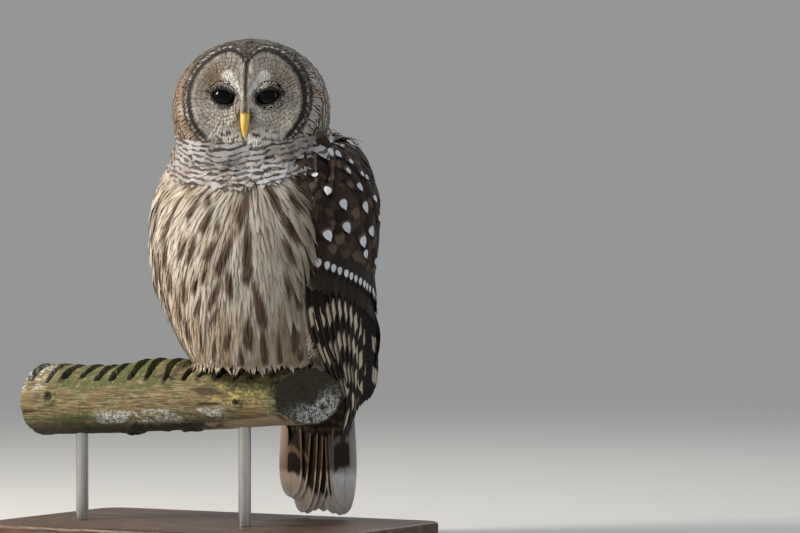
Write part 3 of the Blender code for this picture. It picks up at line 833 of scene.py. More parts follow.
def coat(name, finish, plot, random, roots, lies, lengths, wide, shape, lift, ground,
         rows=5, crowd=1.0, low=0.25, stray=0.05, long=(0.85, 1.15), broad=(0.85, 1.15),
         loose=(-0.0003, 0.0006), shades=None, tones=(0.0, 1.0), strengths=None, fray=0.0,
         limit=np.inf, surface=hide, hold=0.34, **look):
    n = len(roots)
    lies = unit(lies + random.normal(0, stray, (n, 3)))
    lengths = np.minimum(lengths * random.uniform(*long, n), limit)
    shafts, outs = lay(surface, roots, lies, lengths, rows, hold)
    s = along_vane(rows, crowd)
    half = wide * random.uniform(*broad, (n, 1)) * vane_width(s, *shape)
    if fray:
        half = half * (1.0 + random.normal(0, fray, (n, rows)))
    rise, change = lift * (low + (1.0 - low) * s), random.uniform(*loose, (n, 1))
    rise = rise + change if loose[0] < 0 else rise * change
    if shades:
        ground = np.array(ground) * random.uniform(*shades, (n, 1))
    tone = random.uniform(*tones, n)
    if strengths:
        look["bars"] = random.uniform(*strengths, n)
    return vanes(name, finish, shafts, outs, half, rise, plot(roots), ground, tone, **look)


def soft_noise(places, size, seed=0.0):
    """Noise between about -1 and 1, its patches about `size` metres across."""
    return np.array([noise.noise(Vector(p) / size + Vector((seed, 0, 0))) for p in places])


# %% [markdown]
# ### Breast and belly
# The breast feathers are long and soft, buff white with a brown streak down the middle. They
# stand in staggered rows and fan out from the throat, so that their streaks join into long
# broken lines. Between them, narrower plain feathers fill the white parts.

# %% Where the breast's feathers stand
THROAT = np.array(from_head(0.0, -0.050, 0.060))
HEM = 0.1700  # the lowest feathers end about here, just over the log


def breast_lie(places):
    """Down, and away from the throat near it."""
    far = np.linalg.norm(places - THROAT, axis=1)
    share = (0.85 * np.exp(-far / 0.16))[:, None]
    return unit(unit(places - THROAT) * share + DOWN * (1.0 - share))


def rooted(surface, turns, heights):
    """Roots on the surface, seen level from outside, for each turn and height."""
    roots, kept = [], []
    for i, (turn, height) in enumerate(zip(turns, heights)):
        start = round_body(turn, height, 0.3)
        found, _ = surface.hit(start, (round_body(turn, height) - start).normalized())
        if found is not None:
            roots.append(found)
            kept.append(i)
    return np.array(roots), np.array(kept)


def staggered(turn_from, turn_to, low, high, across, along, seed, wander=0.22):
    """Turns and heights of staggered rows, with a little wander."""
    random = np.random.default_rng(seed)
    turns, heights = [], []
    for row, height in enumerate(np.arange(low, high, along)):
        line = np.arange(turn_from + across * 0.5 * (row % 2), turn_to, across)
        turns.append(line + random.normal(0, wander, len(line)) * across)
        heights.append(height + random.normal(0, wander, len(line)) * along)
    return np.concatenate(turns), np.concatenate(heights), random


def measured_edges(side):
    """The levels of a wing's solid, and the turns of its front and back edges there."""
    co = rows_of(frame["nodes"]["wing_" + side].data.vertices)
    levels, turns = np.unique(np.round(co[:, 2], 4)), np.abs(turn_of(co))
    rows = [turns[np.abs(co[:, 2] - level) < 0.0005] for level in levels]
    return levels, [row.min() for row in rows], [row.max() for row in rows]


WING_EDGES = {side: measured_edges(side) for side in SIDES}


def wing_edge(side, heights, back=False):
    levels, *edges = WING_EDGES[side]
    return np.interp(heights, levels, edges[back])


# How many degrees past the left wing's front edge the coat of the breast goes, at each height.
COAT_LEVELS = (0.170, 0.190, 0.210, 0.2275, 0.240, 0.255, 0.270, 0.300)
COAT_PAST = (-7.0, -7.0, -5.0, -3.0, 1.0, 4.0, 4.0, 2.0)


def clear_of_wings(turns, heights, margin=0.0):
    """The coat of the breast ends near the left wing's edge, and lies over the right one's."""
    past = np.interp(heights, COAT_LEVELS, COAT_PAST) + margin
    over = blend(-22.0, 16.0, smooth(0.19, 0.24, heights))
    return (turns < wing_edge("left", heights) + past) & (
        turns > -wing_edge("right", heights) - over)


# %% Where the dark streaks lie
# Each streak is a row of points over the skin. Those that show from the front are set one by one,
# as (across, height, across, height, width) in millimetres from the owl's middle, seen from
# 30 degrees to its left; behind them they follow the coat's own rows.
FRONT_ACROSS = Vector((math.cos(math.radians(30)), 0.5, 0.0))
FRONT_IN = Vector((-0.5, math.cos(math.radians(30)), 0.0))
FRONT_STREAKS = (
    (-2, 335, -11, 303, 7.5), (-3, 302, -3, 251, 7.5), (3, 250, 11, 210, 7.5),
    (10, 206, 12, 171, 5.5), (14, 341, 27, 314, 6.0), (27, 314, 43, 287, 7.0),
    (30, 288, 44, 257, 6.5), (33, 253, 42, 228, 8.0), (37, 225, 39, 188, 7.0),
    (42, 187, 43, 173, 5.0), (34, 332, 43, 318, 5.5), (35, 346, 46, 333, 5.0),
    (-35, 317, -44, 297, 6.0), (-48, 327, -58, 307, 5.0), (-67, 325, -82, 287, 5.0),
    (-85, 318, -95, 277, 4.5), (-15, 296, -30, 259, 7.0), (-33, 287, -41, 271, 6.5),
    (-20, 258, -19, 239, 7.0), (-28, 248, -38, 226, 6.0), (-28, 229, -38, 207, 5.0),
    (-3, 216, -3, 190, 7.5), (-19, 206, -23, 188, 4.5), (-61, 215, -57, 194, 6.0),
    (-69, 231, -64, 213, 5.0), (-46, 236, -51, 217, 5.0), (-60, 287, -66, 271, 5.0),
    (-51, 292, -58, 266, 6.0), (-78, 287, -81, 261, 6.0), (-30, 306, -30, 296, 5.0),
    (-40, 264, -44, 250, 5.0), (-39, 331, -40, 320, 5.5), (-53, 340, -56, 333, 5.5),
    (51, 244, 57, 224, 6.0), (47, 277, 58, 259, 4.5), (54, 312, 65, 277, 3.0),
    (-74, 258, -76, 240, 6.0), (-88, 262, -88, 242, 4.0), (-50, 256, -53, 240, 5.0),
    (-62, 250, -62, 232, 5.0), (-10, 186, -9, 172, 4.5), (-33, 196, -34, 178, 4.0),
    (-46, 204, -44, 184, 4.5), (24, 196, 25, 176, 4.0), (50, 214, 53, 190, 5.0),
)
OFF_SKIN = 0.003


def seen_from_front(surface, across, height):
    """The place that shows this far across from the owl's middle, at this height."""
    start = Vector((OWL.x, OWL.y, height)) + FRONT_ACROSS * across
    return surface.hit(start - FRONT_IN * 0.3, FRONT_IN)


def streak_lines():
    """The streaks as lines of places, each with its half width."""
    for x0, z0, x1, z1, width in FRONT_STREAKS:
        found = [seen_from_front(hide, blend(x0, x1, s) / 1000, blend(z0, z1, s) / 1000)
                 for s in np.linspace(0, 1, 16)]
        yield [f + out * OFF_SKIN for f, out in found if f is not None], width / 2000
    turns, heights, random = staggered(-128, -46, 0.185, 0.345, 11.5, 0.024, 10, 0.15)
    keep = clear_of_wings(turns, heights)
    roots, _ = rooted(hide, turns[keep], heights[keep])
    shafts, outs = lay(hide, roots, breast_lie(roots), np.full(len(roots), 0.024), 12)
    for line in shafts + OFF_SKIN * outs:
        yield line, random.uniform(0.0020, 0.0034)


streaks = [(Vector(place), k / max(len(line) - 1, 1), half)
           for line, half in streak_lines() for k, place in enumerate(line)]
streak_shares, streak_halves = np.array([streak[1:] for streak in streaks]).T
streak_tree = KDTree(len(streaks))
for k, (place, _, _) in enumerate(streaks):
    streak_tree.insert(place, k)
streak_tree.balance()
print(len(streaks), "points of streaks")

# %% The breast's colours
# SHADE is painted shade, not a colour of the feathers.
BUFF, CREAM, SHADE = rgb(0.43, 0.31, 0.19), rgb(0.67, 0.62, 0.55), rgb(0.17, 0.135, 0.105)
STREAK = rgb(0.078, 0.044, 0.026)


def breast_colour(places):
    """Buff white, drawn out in fine locks, with painted shade over it and the dark streaks over
    all.
    """
    z, turn = places[:, 2], turn_of(places)
    locks = soft_noise(places * (1, 1, 0.16), 0.0052, 3.0)
    broad = soft_noise(places * (1, 1, 0.5), 0.020, 6.0)
    low = 1.0 - smooth(0.17, 0.27, z)
    left = smooth(5, -50, turn)
    share = np.clip(0.20 + 0.55 * locks + 0.45 * broad + 0.50 * low + 0.20 * left, 0, 1)
    tones = painted(CREAM, BUFF, share)
    # Painted shade by the left wing's front edge. Between the locks low on the owl's right and in
    # broad patches, the darkening is partly the coat's own mottling and partly painted shade
    # between feathers.
    edge = smooth(20, 2, wing_edge("left", z) - turn) * smooth(0.36, 0.30, z)
    dim = np.clip(0.85 * edge + 0.85 * smooth(0.05, 0.55, locks) * left * smooth(0.36, 0.33, z)
                  + 0.40 * smooth(0.05, 0.5, broad), 0, 0.95)
    # The factor after SHADE is painted shade as well: the breast darkens from its middle towards
    # the owl's left, away from the key light.
    tones = painted(tones, SHADE, 0.75 * dim) * (1.0 - 0.26 * smooth(-30, 15, turn))[:, None]
    _, index, apart = zip(*(streak_tree.find(place) for place in places))
    share, half = streak_shares[list(index)], streak_halves[list(index)]
    half = half * (0.75 + 0.45 * smooth(0.0, 0.6, share)) + 0.0005
    marked = 1.0 - smooth(0.70, 1.30, (np.array(apart) + 0.0009 * locks) / half)
    marked = marked * blend(0.70, 1.0, smooth(0.0, 0.25, share))
    return np.clip(painted(tones, STREAK, 0.97 * marked), 0.01, 0.9)


# %% The streaked coat
soft_coat = feather_finish("streaked_breast", depth=0.0003, Barbs=0.55)


def breast_coat(name, across, along, low, high, length, width, power, seed, lift, rows, tops,
                span=(-138, 80)):
    turns, heights, random = staggered(*span, low, high, across, along, seed)
    keep = clear_of_wings(turns, heights)
    roots, kept = rooted(hide, turns[keep], heights[keep])
    turns, heights = turns[keep][kept], heights[keep][kept]
    kept = (breast_lie(roots)[:, 2] < -0.15) & ((heights < 0.342) | (turns < 50))
    heights, roots = heights[kept], roots[kept]
    n = len(roots)
    lies = unit(breast_lie(roots) + random.normal(0, 0.06, (n, 3)))
    room = np.maximum(heights - HEM + random.normal(0, 0.0025, n), 0.010)
    lengths = np.minimum(length * random.uniform(0.75, 1.2, n), room)
    shafts, outs = lay(hide, roots, lies, lengths, rows, 0.50)
    tips = shafts[:, -1]
    kept = clear_of_wings(turn_of(tips), tips[:, 2], -1.0)
    shafts, outs, roots = shafts[kept], outs[kept], roots[kept]
    n = len(roots)
    s = along_vane(rows, 1.15)
    half = (width / 2 * random.uniform(0.75, 1.2, (n, 1))) * vane_width(s, 0.45, 2.2, power)
    half = half * (1.0 + random.normal(0, 0.05, (n, rows)))
    rise = lift * (0.30 + 0.70 * s) + random.uniform(-0.0003, 0.0005, (n, 1))
    rise = rise + (random.uniform(0, 1, (n, 1)) ** 5) * 0.0018 * s**2
    return vanes(name, soft_coat, shafts, outs, half, rise, trunk_plot(roots), breast_colour,
                 random.uniform(0.2, 0.8, n), tops=tops, camber=0.07, thick=0.0003)


breast_coats = [breast_coat(*values) for values in (
    ("breast_feathers", 1.75, 0.0078, 0.180, 0.362, 0.034, 0.0044, 0.9, 11, 0.0040, 6, 3),
    ("breast_fill", 4.4, 0.0105, 0.181, 0.360, 0.040, 0.0105, 0.55, 12, 0.0026, 7, 5),
    ("flank_feathers", 8.0, 0.0150, 0.200, 0.335, 0.042, 0.0100, 0.9, 13, 0.0072, 8, 5,
     (-140, -52)),
    ("flank_feathers_left", 3.2, 0.0080, 0.236, 0.318, 0.034, 0.0070, 0.8, 14, 0.0088, 8, 5,
     (46, 66)),
)]


# %% [markdown]
# ### Face
# An owl's facial disc is made of very fine, loose feathers that stand in rings round each eye and
# point away from it. Their colours are what gives the face its look: grey discs with darker
# rings, pale brows that cross between the eyes, and a dark line up the forehead.

# %% The face's colours
EYE_SIDE, HEAD_RADIUS = (EYES["left"] - EYES["right"]).length / 2, 0.072
WHITE, PALE_GREY, GREY = rgb(0.74, 0.72, 0.68), rgb(0.42, 0.385, 0.34), rgb(0.20, 0.17, 0.14)
BROWN, DARK = rgb(0.21, 0.135, 0.080), rgb(0.022, 0.015, 0.012)


def spot_share(side, up, at_side, at_up, wide, high):
    return np.exp(-(((side - at_side) / wide) ** 2 + ((up - at_up) / high) ** 2))


def to_line(x, y, a, b):
    """Distance from places of a plane to the line between two others."""
    a, way = np.array(a), np.array(b) - np.array(a)
    share = np.clip(((x - a[0]) * way[0] + (y - a[1]) * way[1]) / (way**2).sum(), 0, 1)
    return np.hypot(x - a[0] - share * way[0], y - a[1] - share * way[1])


def face_colour(places):
    """The colour of the fine feathers at these places of the face."""
    side, up, _ = on_head(places)
    out, above = np.abs(side), up - EYES_UP
    tones = painted(PALE_GREY, GREY, np.clip(0.20 + 0.55 * soft_noise(places, 0.0040, 7.0), 0, 1))
    # Brown above each outer eye. It is weaker on the head's left, and that difference is painted
    # light: the cool fill on that side against the warm key on the other.
    warm = spot_share(out, above, 0.030, 0.018, 0.016, 0.014) * np.where(side > 0, 0.55, 0.85)
    below = smooth(0.0, -0.018, above) * smooth(0.004, 0.016, out)
    brow = 1.0 - smooth(0.0040, 0.0085, to_line(out, above, (0.0070, 0.000), (0.0170, 0.0185)))
    cheek = 1.0 - smooth(0.0020, 0.0055, to_line(out, above, (0.0045, -0.006), (0.016, -0.022)))
    chin = smooth(-0.024, -0.034, above) * (1.0 - smooth(0.022, 0.040, out))
    fleck = smooth(0.05, 0.25, soft_noise(places * (0.5, 0.5, 1), 0.0026, 4.0))
    wide = 0.0009 + 0.0005 * smooth(0.010, 0.040, above)
    line = (1.0 - smooth(wide, wide + 0.0014, out)) * smooth(-0.012, -0.006, above)
    beside = (1.0 - smooth(0.0, 0.0022, np.abs(out - wide - 0.0026))) * smooth(
        0.004, 0.014, above) * smooth(-0.3, 0.2, soft_noise(places, 0.003))
    across, high = turned_back(out - EYE_SIDE, above)
    lid = 1.0 - smooth(0.95, 1.18, np.hypot(across / 0.0134, high / 0.0084))
    corner = np.maximum(spot_share(across, high, 0.0140, 0.0006, 0.0036, 0.0017),
                        spot_share(across, high, -0.0134, 0.0, 0.0032, 0.0022))
    # The crease over each eye is painted shade: a dark line where the upper lid folds under the
    # brow.
    crease = np.abs(np.hypot(across / 0.0152, (high + 0.001) / 0.0122) - 1.0)
    crease = (1.0 - smooth(0.03, 0.12, crease)) * smooth(0.001, 0.005, high)
    for over, share in (
        (BROWN, warm), (PALE_GREY * 1.35, 0.55 * below),
        (WHITE, np.clip(0.95 * np.maximum(brow, 0.75 * cheek), 0, 1)),
        (painted(WHITE, GREY * 0.30, fleck), 0.90 * chin), (WHITE, 0.75 * beside),
        (DARK, 0.92 * line * smooth(0.040, 0.030, above)),
        (DARK * 0.8, np.clip(lid + 0.9 * corner, 0, 0.96)), (DARK, 0.70 * crease),
        (GREY * 0.45, 0.55 * spot_share(out, above, 0.0062, -0.019, 0.0040, 0.0085)),
    ):
        tones = painted(tones, over, share)
    return np.clip(tones, 0.008, 0.9)


def rim_share(side, up, ahead):
    """The share of the discs, which goes on growing behind them."""
    return disc_share(side, up) + 0.5 * smooth(0.020, 0.0, ahead) + 2 * smooth(0, -0.02, ahead)


def head_colour(places):
    """The face, its dark rim with white flecks beyond it, and the ground of the coat behind."""
    side, up, ahead = on_head(places)
    share = rim_share(side, up, ahead) + 0.012 * soft_noise(places, 0.0030, 2.0)
    share = share + 0.20 * np.exp(-((side / 0.0055) ** 2)) * smooth(0.020, 0.045, up)
    open_below = smooth(-0.030, -0.040, up - EYES_UP) * smooth(0.040, 0.030, np.abs(side))
    pick = 0.30 + 0.9 * soft_noise(places, 0.014, 5.0) + 0.6 * smooth(0.0, -0.05, side)
    behind = painted(rgb(0.50, 0.46, 0.41), rgb(0.27, 0.18, 0.115), np.clip(pick, 0, 1))
    behind = painted(behind, rgb(0.130, 0.112, 0.098), 0.90 * smooth(0.020, 0.055, up))
    fleck = smooth(-0.05, 0.30, soft_noise(places, 0.0026, 8.0))
    ring = painted(BROWN * 0.30, WHITE * 0.9, 0.75 * fleck)
    ring = painted(ring, DARK * 1.4, smooth(1.065, 1.08, share) * 0.8)
    between = np.exp(-((side / 0.0085) ** 2)) * smooth(0.030, 0.045, up)
    ring = painted(ring, behind, smooth(1.11, 1.15, share) * (1 - between))
    rim = painted(DARK, ring, smooth(1.030, 1.045, share))
    return painted(rim, face_colour(places),
                   1.0 - smooth(0.940, 0.960, share) * (1 - open_below))


def from_eye(places):
    """Distance from the nearer eye, which is what the face's rings follow."""
    side, up, _ = on_head(places)
    return np.hypot(np.abs(side) - EYE_SIDE, up - EYES_UP)


def from_face(places):
    """How far round the head a place lies from the face, on lines that turn level behind."""
    side, up, ahead = on_head(places)
    far = np.sqrt(side**2 + up**2 + ahead**2)
    lean = 0.8 * smooth(0.9, -0.9, ahead / far)
    return HEAD_RADIUS * np.arccos(
        np.clip((ahead + lean * up) / (far * np.hypot(1, lean)), -1, 1))


# %% Fine feathers in rings round each eye
def ring_strength(places):
    """How strong the face's rings are: none on the brows, the chin and round the lids."""
    side, up, _ = on_head(places)
    far, above = from_eye(places), up - EYES_UP
    strength = smooth(0.013, 0.019, far) * smooth(0.975, 0.93, disc_share(side, up))
    strength = strength * smooth(0.004, 0.012, np.abs(side)) * smooth(-0.036, -0.026, above)
    brow = to_line(np.abs(side), above, (0.0052, -0.002), (0.0175, 0.0205))
    return 0.42 * strength * smooth(0.003, 0.007, brow)


def face_roots(random):
    flat, ways = [], []
    for way in (1, -1):
        for k, far in enumerate(np.arange(0.0, 0.064, 0.0018)):
            turns = np.arange(0, 2 * math.pi, 0.0016 / (far + 0.011)) + random.uniform(0, 1)
            turns = turns + random.normal(0, 0.0003 / (far + 0.011), len(turns))
            tight = math.exp(-k / 4)
            span = far + blend(LID_HALF, lid_opening(turns), tight) + 0.0007
            span = span + random.normal(0, 0.0003, len(turns))
            out = EYE_SIDE + span * np.cos(turns)
            above = EYES_UP + LID_MIDDLE * tight + span * np.sin(turns)
            keep = (out > 0) & (disc_share(out, above) < 0.985)
            keep &= ~((out < 0.0040) & (above < 0.0) & (above > -0.030))
            flat.append(np.stack([way * out, above], axis=1)[keep])
            ways.append(np.stack([way * np.cos(turns), np.sin(turns)], axis=1)[keep])
    return np.concatenate(flat), np.concatenate(ways)


def on_front(flat):
    """Places of the skin straight behind these places of the face."""
    found = []
    for side, up in flat:
        place, _ = hide.hit(from_head(side, up, 0.15), -HEAD_AHEAD)
        found.append(place if place is not None else from_head(side, up, 0.03))
    return np.array(found)


def head_ways(ways):
    return ways[:, :1] * np.array(HEAD_LEFT) + ways[:, 1:] * np.array(UP)


plain = feather_finish(
    "fine_face", depth=0.0001, Barbs=0.3, Mark=(0.04, 0.03, 0.02),
    drawn=broken_bars(0.0038, 2.6, 0.020, (0.075, 0.058, 0.045), 0.0045, 1.6, 0.1, 0.8),
)
random = np.random.default_rng(21)
flat, ways = face_roots(random)
rising = np.where(flat[:, 1] > 0.004, 1.6, -1.6) * np.exp(-((flat[:, 0] / 0.0085) ** 2))
far = np.hypot(np.abs(flat[:, 0]) - EYE_SIDE, flat[:, 1] - EYES_UP)
face = coat(
    "face_feathers", plain, head_plot, random, on_front(flat),
    head_ways(ways + rising[:, None] * (0.0, 1.0)),
    blend(0.0030, 0.0070, smooth(0.011, 0.032, far)), 0.00095, (0.7, 2.0, 0.8), 0.0016,
    head_colour, rows=4, low=0.375, stray=0.10, long=(0.8, 1.2), broad=(0.8, 1.2),
    loose=(0.6, 1.3), limit=blend(0.0068, 0.0036, smooth(0.86, 0.97, disc_share(*flat.T))),
    reach=from_eye, bars=ring_strength, **FINE,
)

# %% [markdown]
# Bristles grow down from between the eyes and lie over the root of the bill.

# %% Bristles over the bill
def bristles(count=210, rows=5, seed=24):
    random = np.random.default_rng(seed)
    bill_surface = Surface(frame["nodes"]["bill_upper"])
    starts = np.stack([random.normal(0, 0.0036, count),
                       EYES_UP + random.uniform(-0.0075, 0.0035, count)], axis=1)
    ends = starts * (1.25, 0) + np.stack([
        random.normal(0, 0.0005, count), EYES_UP - 0.0125 + random.normal(0, 0.0011, count)
    ], axis=1) - 0.35 * np.abs(starts[:, :1]) * (0, 1)
    shafts = np.empty((count, rows, 3))
    for i in range(count):
        for k, share in enumerate(np.linspace(0, 1, rows)):
            start = from_head(*blend(starts[i], ends[i], share), 0.15)
            found = [s.hit(start, -HEAD_AHEAD)[0] for s in (hide, bill_surface)]
            ahead = max(f.dot(HEAD_AHEAD) for f in found if f is not None)
            lift = 0.0006 + 0.0006 * share + 0.0004 * random.uniform()
            shafts[i, k] = start + HEAD_AHEAD * (ahead - start.dot(HEAD_AHEAD) + lift)
    outs = np.broadcast_to(np.array(HEAD_AHEAD), shafts.shape)
    s = along_vane(rows, 1.0)
    half = 0.00075 * random.uniform(0.7, 1.2, (count, 1)) * vane_width(s, 0.7, 2.0, 0.9)
    ground = blend(PALE_GREY * 1.35, BROWN * 0.9, random.uniform(0, 1, (count, 1)) ** 1.3)
    ground = blend(ground, DARK * 1.5, 0.85 - 0.85 * smooth(0.0006, 0.0020, np.abs(starts[:, :1])))
    return vanes("bill_bristles", plain, shafts, outs, half, np.zeros((count, rows)),
                 head_plot(shafts[:, 0]), ground, random.uniform(0, 1, count),
                 reach=from_eye, bars=np.zeros(count), **FINE)


bill_bristles = bristles()

# %% [markdown]
# Round the discs runs a ruff of short stiff feathers: a dark brown line first, and then a ring
# that is speckled dark and white.

# %% The ruff round the discs
CHIN_GAP = 0.55  # no ruff this far to each side of straight down, in radians


def disc_edge(turns, share):
    """Places in the face's plane along a curve of equal share of the discs."""
    low, high = np.zeros(len(turns)), np.full(len(turns), 0.12)
    for _ in range(24):
        mid = (low + high) / 2
        inside = disc_share(mid * np.cos(turns), DISC_UP + mid * np.sin(turns)) < share
        low, high = np.where(inside, mid, low), np.where(inside, high, mid)
    return np.stack([low * np.cos(turns), DISC_UP + low * np.sin(turns)], axis=1)


def ring_coat(name, shares, spacing, length, width, lift, seed):
    random = np.random.default_rng(seed)
    flat, ways = [], []
    for share in shares:
        turns = np.arange(-0.5 * math.pi, 1.5 * math.pi, spacing / 0.053)
        turns = turns + random.normal(0, 0.2 * spacing / 0.053, len(turns))
        turns = turns[(np.abs(turns + 0.5 * math.pi) > CHIN_GAP)
                      & (np.abs(turns - 1.5 * math.pi) > CHIN_GAP)]
        flat.append(disc_edge(turns, share))
        ways.append(np.stack([np.cos(turns), np.sin(turns)], axis=1))
    roots = on_front(np.concatenate(flat))
    return coat(
        name, plain, head_plot, random, roots,
        head_ways(np.concatenate(ways)) + 0.15 * np.array(HEAD_AHEAD), length, width / 2,
        (0.6, 3.0, 0.6), lift, head_colour, low=0.4, stray=0.08, long=(0.8, 1.2),
        broad=(0.8, 1.2), loose=(0.8, 1.2), tops=3, camber=0.25, thick=0.0003,
        reach=from_eye, bars=np.zeros(len(roots)),
    )


disc_line = ring_coat(
    "disc_rim", (0.955, 0.985, 1.015, 1.045), 0.0017, 0.0050, 0.0019, 0.0018, 22)
disc_speckle = ring_coat(
    "disc_speckle", (1.075, 1.11, 1.15, 1.19), 0.0019, 0.0056, 0.0020, 0.0022, 23)

# %% [markdown]
# ### Crown, cheeks and nape
# Behind the ruff the head's feathers are small and rounded, dark brown with pale edges on the
# crown and barred brown and white at the sides. They lie away from the face, and downwards as
# they come to the neck.

# %% The head's coat
def head_rows(random, first, last, across, along):
    """Directions from the head's middle in staggered rings about the face."""
    rings = []
    step = along / HEAD_RADIUS
    for k, polar in enumerate(np.arange(first, last, step)):
        gap = across / (HEAD_RADIUS * max(math.sin(polar), 0.12))
        turns = np.arange(0, 2 * math.pi, gap) + gap * 0.5 * (k % 2)
        turns = turns + random.normal(0, 0.15 * gap, len(turns))
        polars = polar + random.normal(0, 0.15 * step, len(turns))
        rings.append(np.stack([np.sin(polars) * np.cos(turns), np.sin(polars) * np.sin(turns),
                               np.cos(polars)], axis=1))
    return np.concatenate(rings)


barred_head = feather_finish(
    "barred_head", depth=0.0003, Mark=(0.52, 0.46, 0.38), Pale=(0.56, 0.51, 0.44), Barbs=0.45,
    drawn=broken_bars(0.0052, 2.2, 0.030, (0.034, 0.024, 0.019), 0.0070, 1.0, -0.40, 0.55),
)


def behind_strength(places):
    """The bars begin behind the flecked ring."""
    return 0.92 * smooth(1.12, 1.18, rim_share(*on_head(places)))


random = np.random.default_rng(31)
roots = []
for way in head_rows(random, math.radians(38), math.radians(179), 0.0046, 0.0040):
    start = from_head(*(0.2 * way))
    found, _ = hide.hit(start, (HEAD - start).normalized())
    if found is not None and found.z > 0.3735 + 0.06 * (found.y - HEAD.y):
        roots.append(found)
roots = np.array(roots)
side, up, ahead = on_head(roots)
roots = roots[(disc_share(side, up) > 1.20) | (ahead < 0.015)]
side, up, ahead = on_head(roots)
low, back = smooth(0.020, -0.045, up), smooth(0.0, -0.05, ahead)
lies = unit(unit(roots - np.array(HEAD)) * 0.2 - np.array(HEAD_AHEAD))
lies = lies * (1.0 - 0.55 * low - 0.35 * back)[:, None]
lies = lies + DOWN * (0.85 * low + 0.55 * back)[:, None]
head_coat = coat(
    "head_feathers", barred_head, head_plot, random, roots, lies, 0.0115, 0.0028,
    (0.5, 4.0, 0.6), 0.0028, head_colour, crowd=1.3, low=0.30, stray=0.07, loose=(0.8, 1.2),
    tops=3, camber=0.12, thick=0.0003, reach=from_face, bars=behind_strength,
)

# %% [markdown]
# ### Neck
# The neck wears a loose scarf of wide feathers, barred dark and white across. They fan out below
# the chin, so that the bars hang in curves from shoulder to shoulder.

# %% The scarf
CHIN = np.array(from_head(0.0, -0.004, 0.030))
SCARF_LOW, SCARF_HIGH, SCARF_ROW, SCARF_TOP = 0.3535, 0.3800, 0.0050, 0.392
scarf_finish = feather_finish(
    "barred_scarf", Barbs=0.6,
    drawn=broken_bars(0.0054, 2.6, 0.024, (0.050, 0.034, 0.026), 0.0080, 1.35, 0.25, 0.45,
                      0.55),
)


def scarf_rise(turns):
    """How much higher a row hangs at the shoulders than below the chin."""
    return 0.030 * np.clip(np.abs(turns - 4.0) / 85.0, 0.0, 1.2) ** 1.8


def below_chin(places):
    """How far below the scarf's own top a place lies, which is what its bars follow."""
    return scarf_rise(turn_of(places)) - places[:, 2]


def scarf_colour(places):
    brown = 0.30 + 0.8 * soft_noise(places, 0.018, 5.0) + 0.3 * soft_noise(places, 0.0035, 9.0)
    # The extra brown towards the owl's right is painted light, the warm key on that side; the
    # mottled brown before it is the feathers' own.
    brown = np.clip(brown + 0.30 * smooth(10, -60, turn_of(places)), 0, 1)
    return painted(rgb(0.53, 0.53, 0.56), rgb(0.27, 0.22, 0.18), brown)


turns, heights, random = staggered(-118, 112, SCARF_LOW, SCARF_HIGH, 5.2, SCARF_ROW, 41, 0.14)
roots, kept = rooted(hide, turns, np.minimum(heights + scarf_rise(turns), SCARF_TOP))
turns = turns[kept]
keep = np.array([owner_of(Vector(p)) in ("neck", "head", "trunk") for p in roots])
keep &= roots[:, 2] < SCARF_TOP - 0.012 * np.exp(-(((turns - 22) / 40) ** 2))
keep &= (turns < 72) | (roots[:, 2] > 0.372)
roots = roots[keep]
scarf = coat(
    "scarf_feathers", scarf_finish, trunk_plot, random, roots,
    unit(roots - CHIN) + 0.35 * DOWN, 0.021, 0.0085, (0.4, 4.0, 0.55), 0.0046, scarf_colour,
    rows=6, crowd=1.4, broad=(0.80, 1.15), fray=0.06, loose=(-0.0003, 0.0005),
    tones=(0.2, 0.8), strengths=(0.70, 1.0), camber=0.08, reach=below_chin,
)

# %% [markdown]
# At the nape the same feathers are browner and lie straight down.

# %% The nape
turns, heights, random = staggered(100, 262, 0.362, 0.394, 5.4, 0.0062, 42, 0.16)
turns = (turns + 180) % 360 - 180
roots, kept = rooted(hide, turns, heights)
roots = roots[(np.abs(turns[kept]) > 132) | (roots[:, 2] > 0.380)]
nape = coat(
    "nape_feathers", scarf_finish, trunk_plot, random, roots, DOWN, 0.020, 0.0058,
    (0.4, 4.0, 0.55), 0.0056, (0.34, 0.26, 0.19), rows=6, crowd=1.4, stray=0.06,
    shades=(0.85, 1.1), strengths=(0.8, 1.0), camber=0.12,
    reach=lambda places: np.linalg.norm(places - np.array(HEAD), axis=1),
)


# %% [markdown]
# ### Back and wing coverts
# The back and the upper wings are dark brown, and each larger feather may carry one white spot
# on its outer half.

# %% Where the coverts stand
spotted = feather_finish(
    "spotted_covert", specular=0.10, Mark=(0.17, 0.115, 0.080), Pale=(0.66, 0.69, 0.74),
    Bars="bars", Bar_Count=1.6, Bar_Phase=0.1, Bar_Share=-0.25, Bar_Soft=0.6, Spot="spot",
    Shaft=0.25, Barbs=0.9, sheen=0.04,
)


def covert_row_tip(edge):
    """How low the tips of the greater coverts hang, from the wing's front edge to its back."""
    return 0.261 - 0.055 * np.clip(edge, 0.0, 1.0)


def above_row(side):
    """How far above the greater coverts' tips each root stands."""
    front, back = wing_edge(side, heights), wing_edge(side, heights, True)
    return heights - covert_row_tip((np.abs(turns) - front) / (back - front))


def covert_lie(turns):
    """Down, and on each wing a little backwards."""
    aside = np.sign(turns) * (1.0 - smooth(120, 170, np.abs(turns)))
    back = np.stack([np.cos(np.radians(turns)), np.sin(np.radians(turns)), 0 * turns], axis=1)
    return DOWN + back * (0.30 * aside)[:, None]


turns, heights, random = staggered(-180, 180, 0.236, 0.392, 5.4, 0.0098, 51, 0.16)
past_left = turns - wing_edge("left", heights) + 1.0 + 9.0 * smooth(0.335, 0.350, heights)
keep = np.where(turns > 0, past_left > 0, -turns > wing_edge("right", heights) + 14.0)
keep &= np.where(turns > 0, above_row("left"), above_row("right")) > 0.042
turns, heights = turns[keep], heights[keep]
roots, kept = rooted(hide, turns, heights)
turns, heights = turns[kept], heights[kept]
keep = np.array([owner_of(Vector(p)) != "head" for p in roots])
roots, turns, heights = roots[keep], turns[keep], heights[keep]

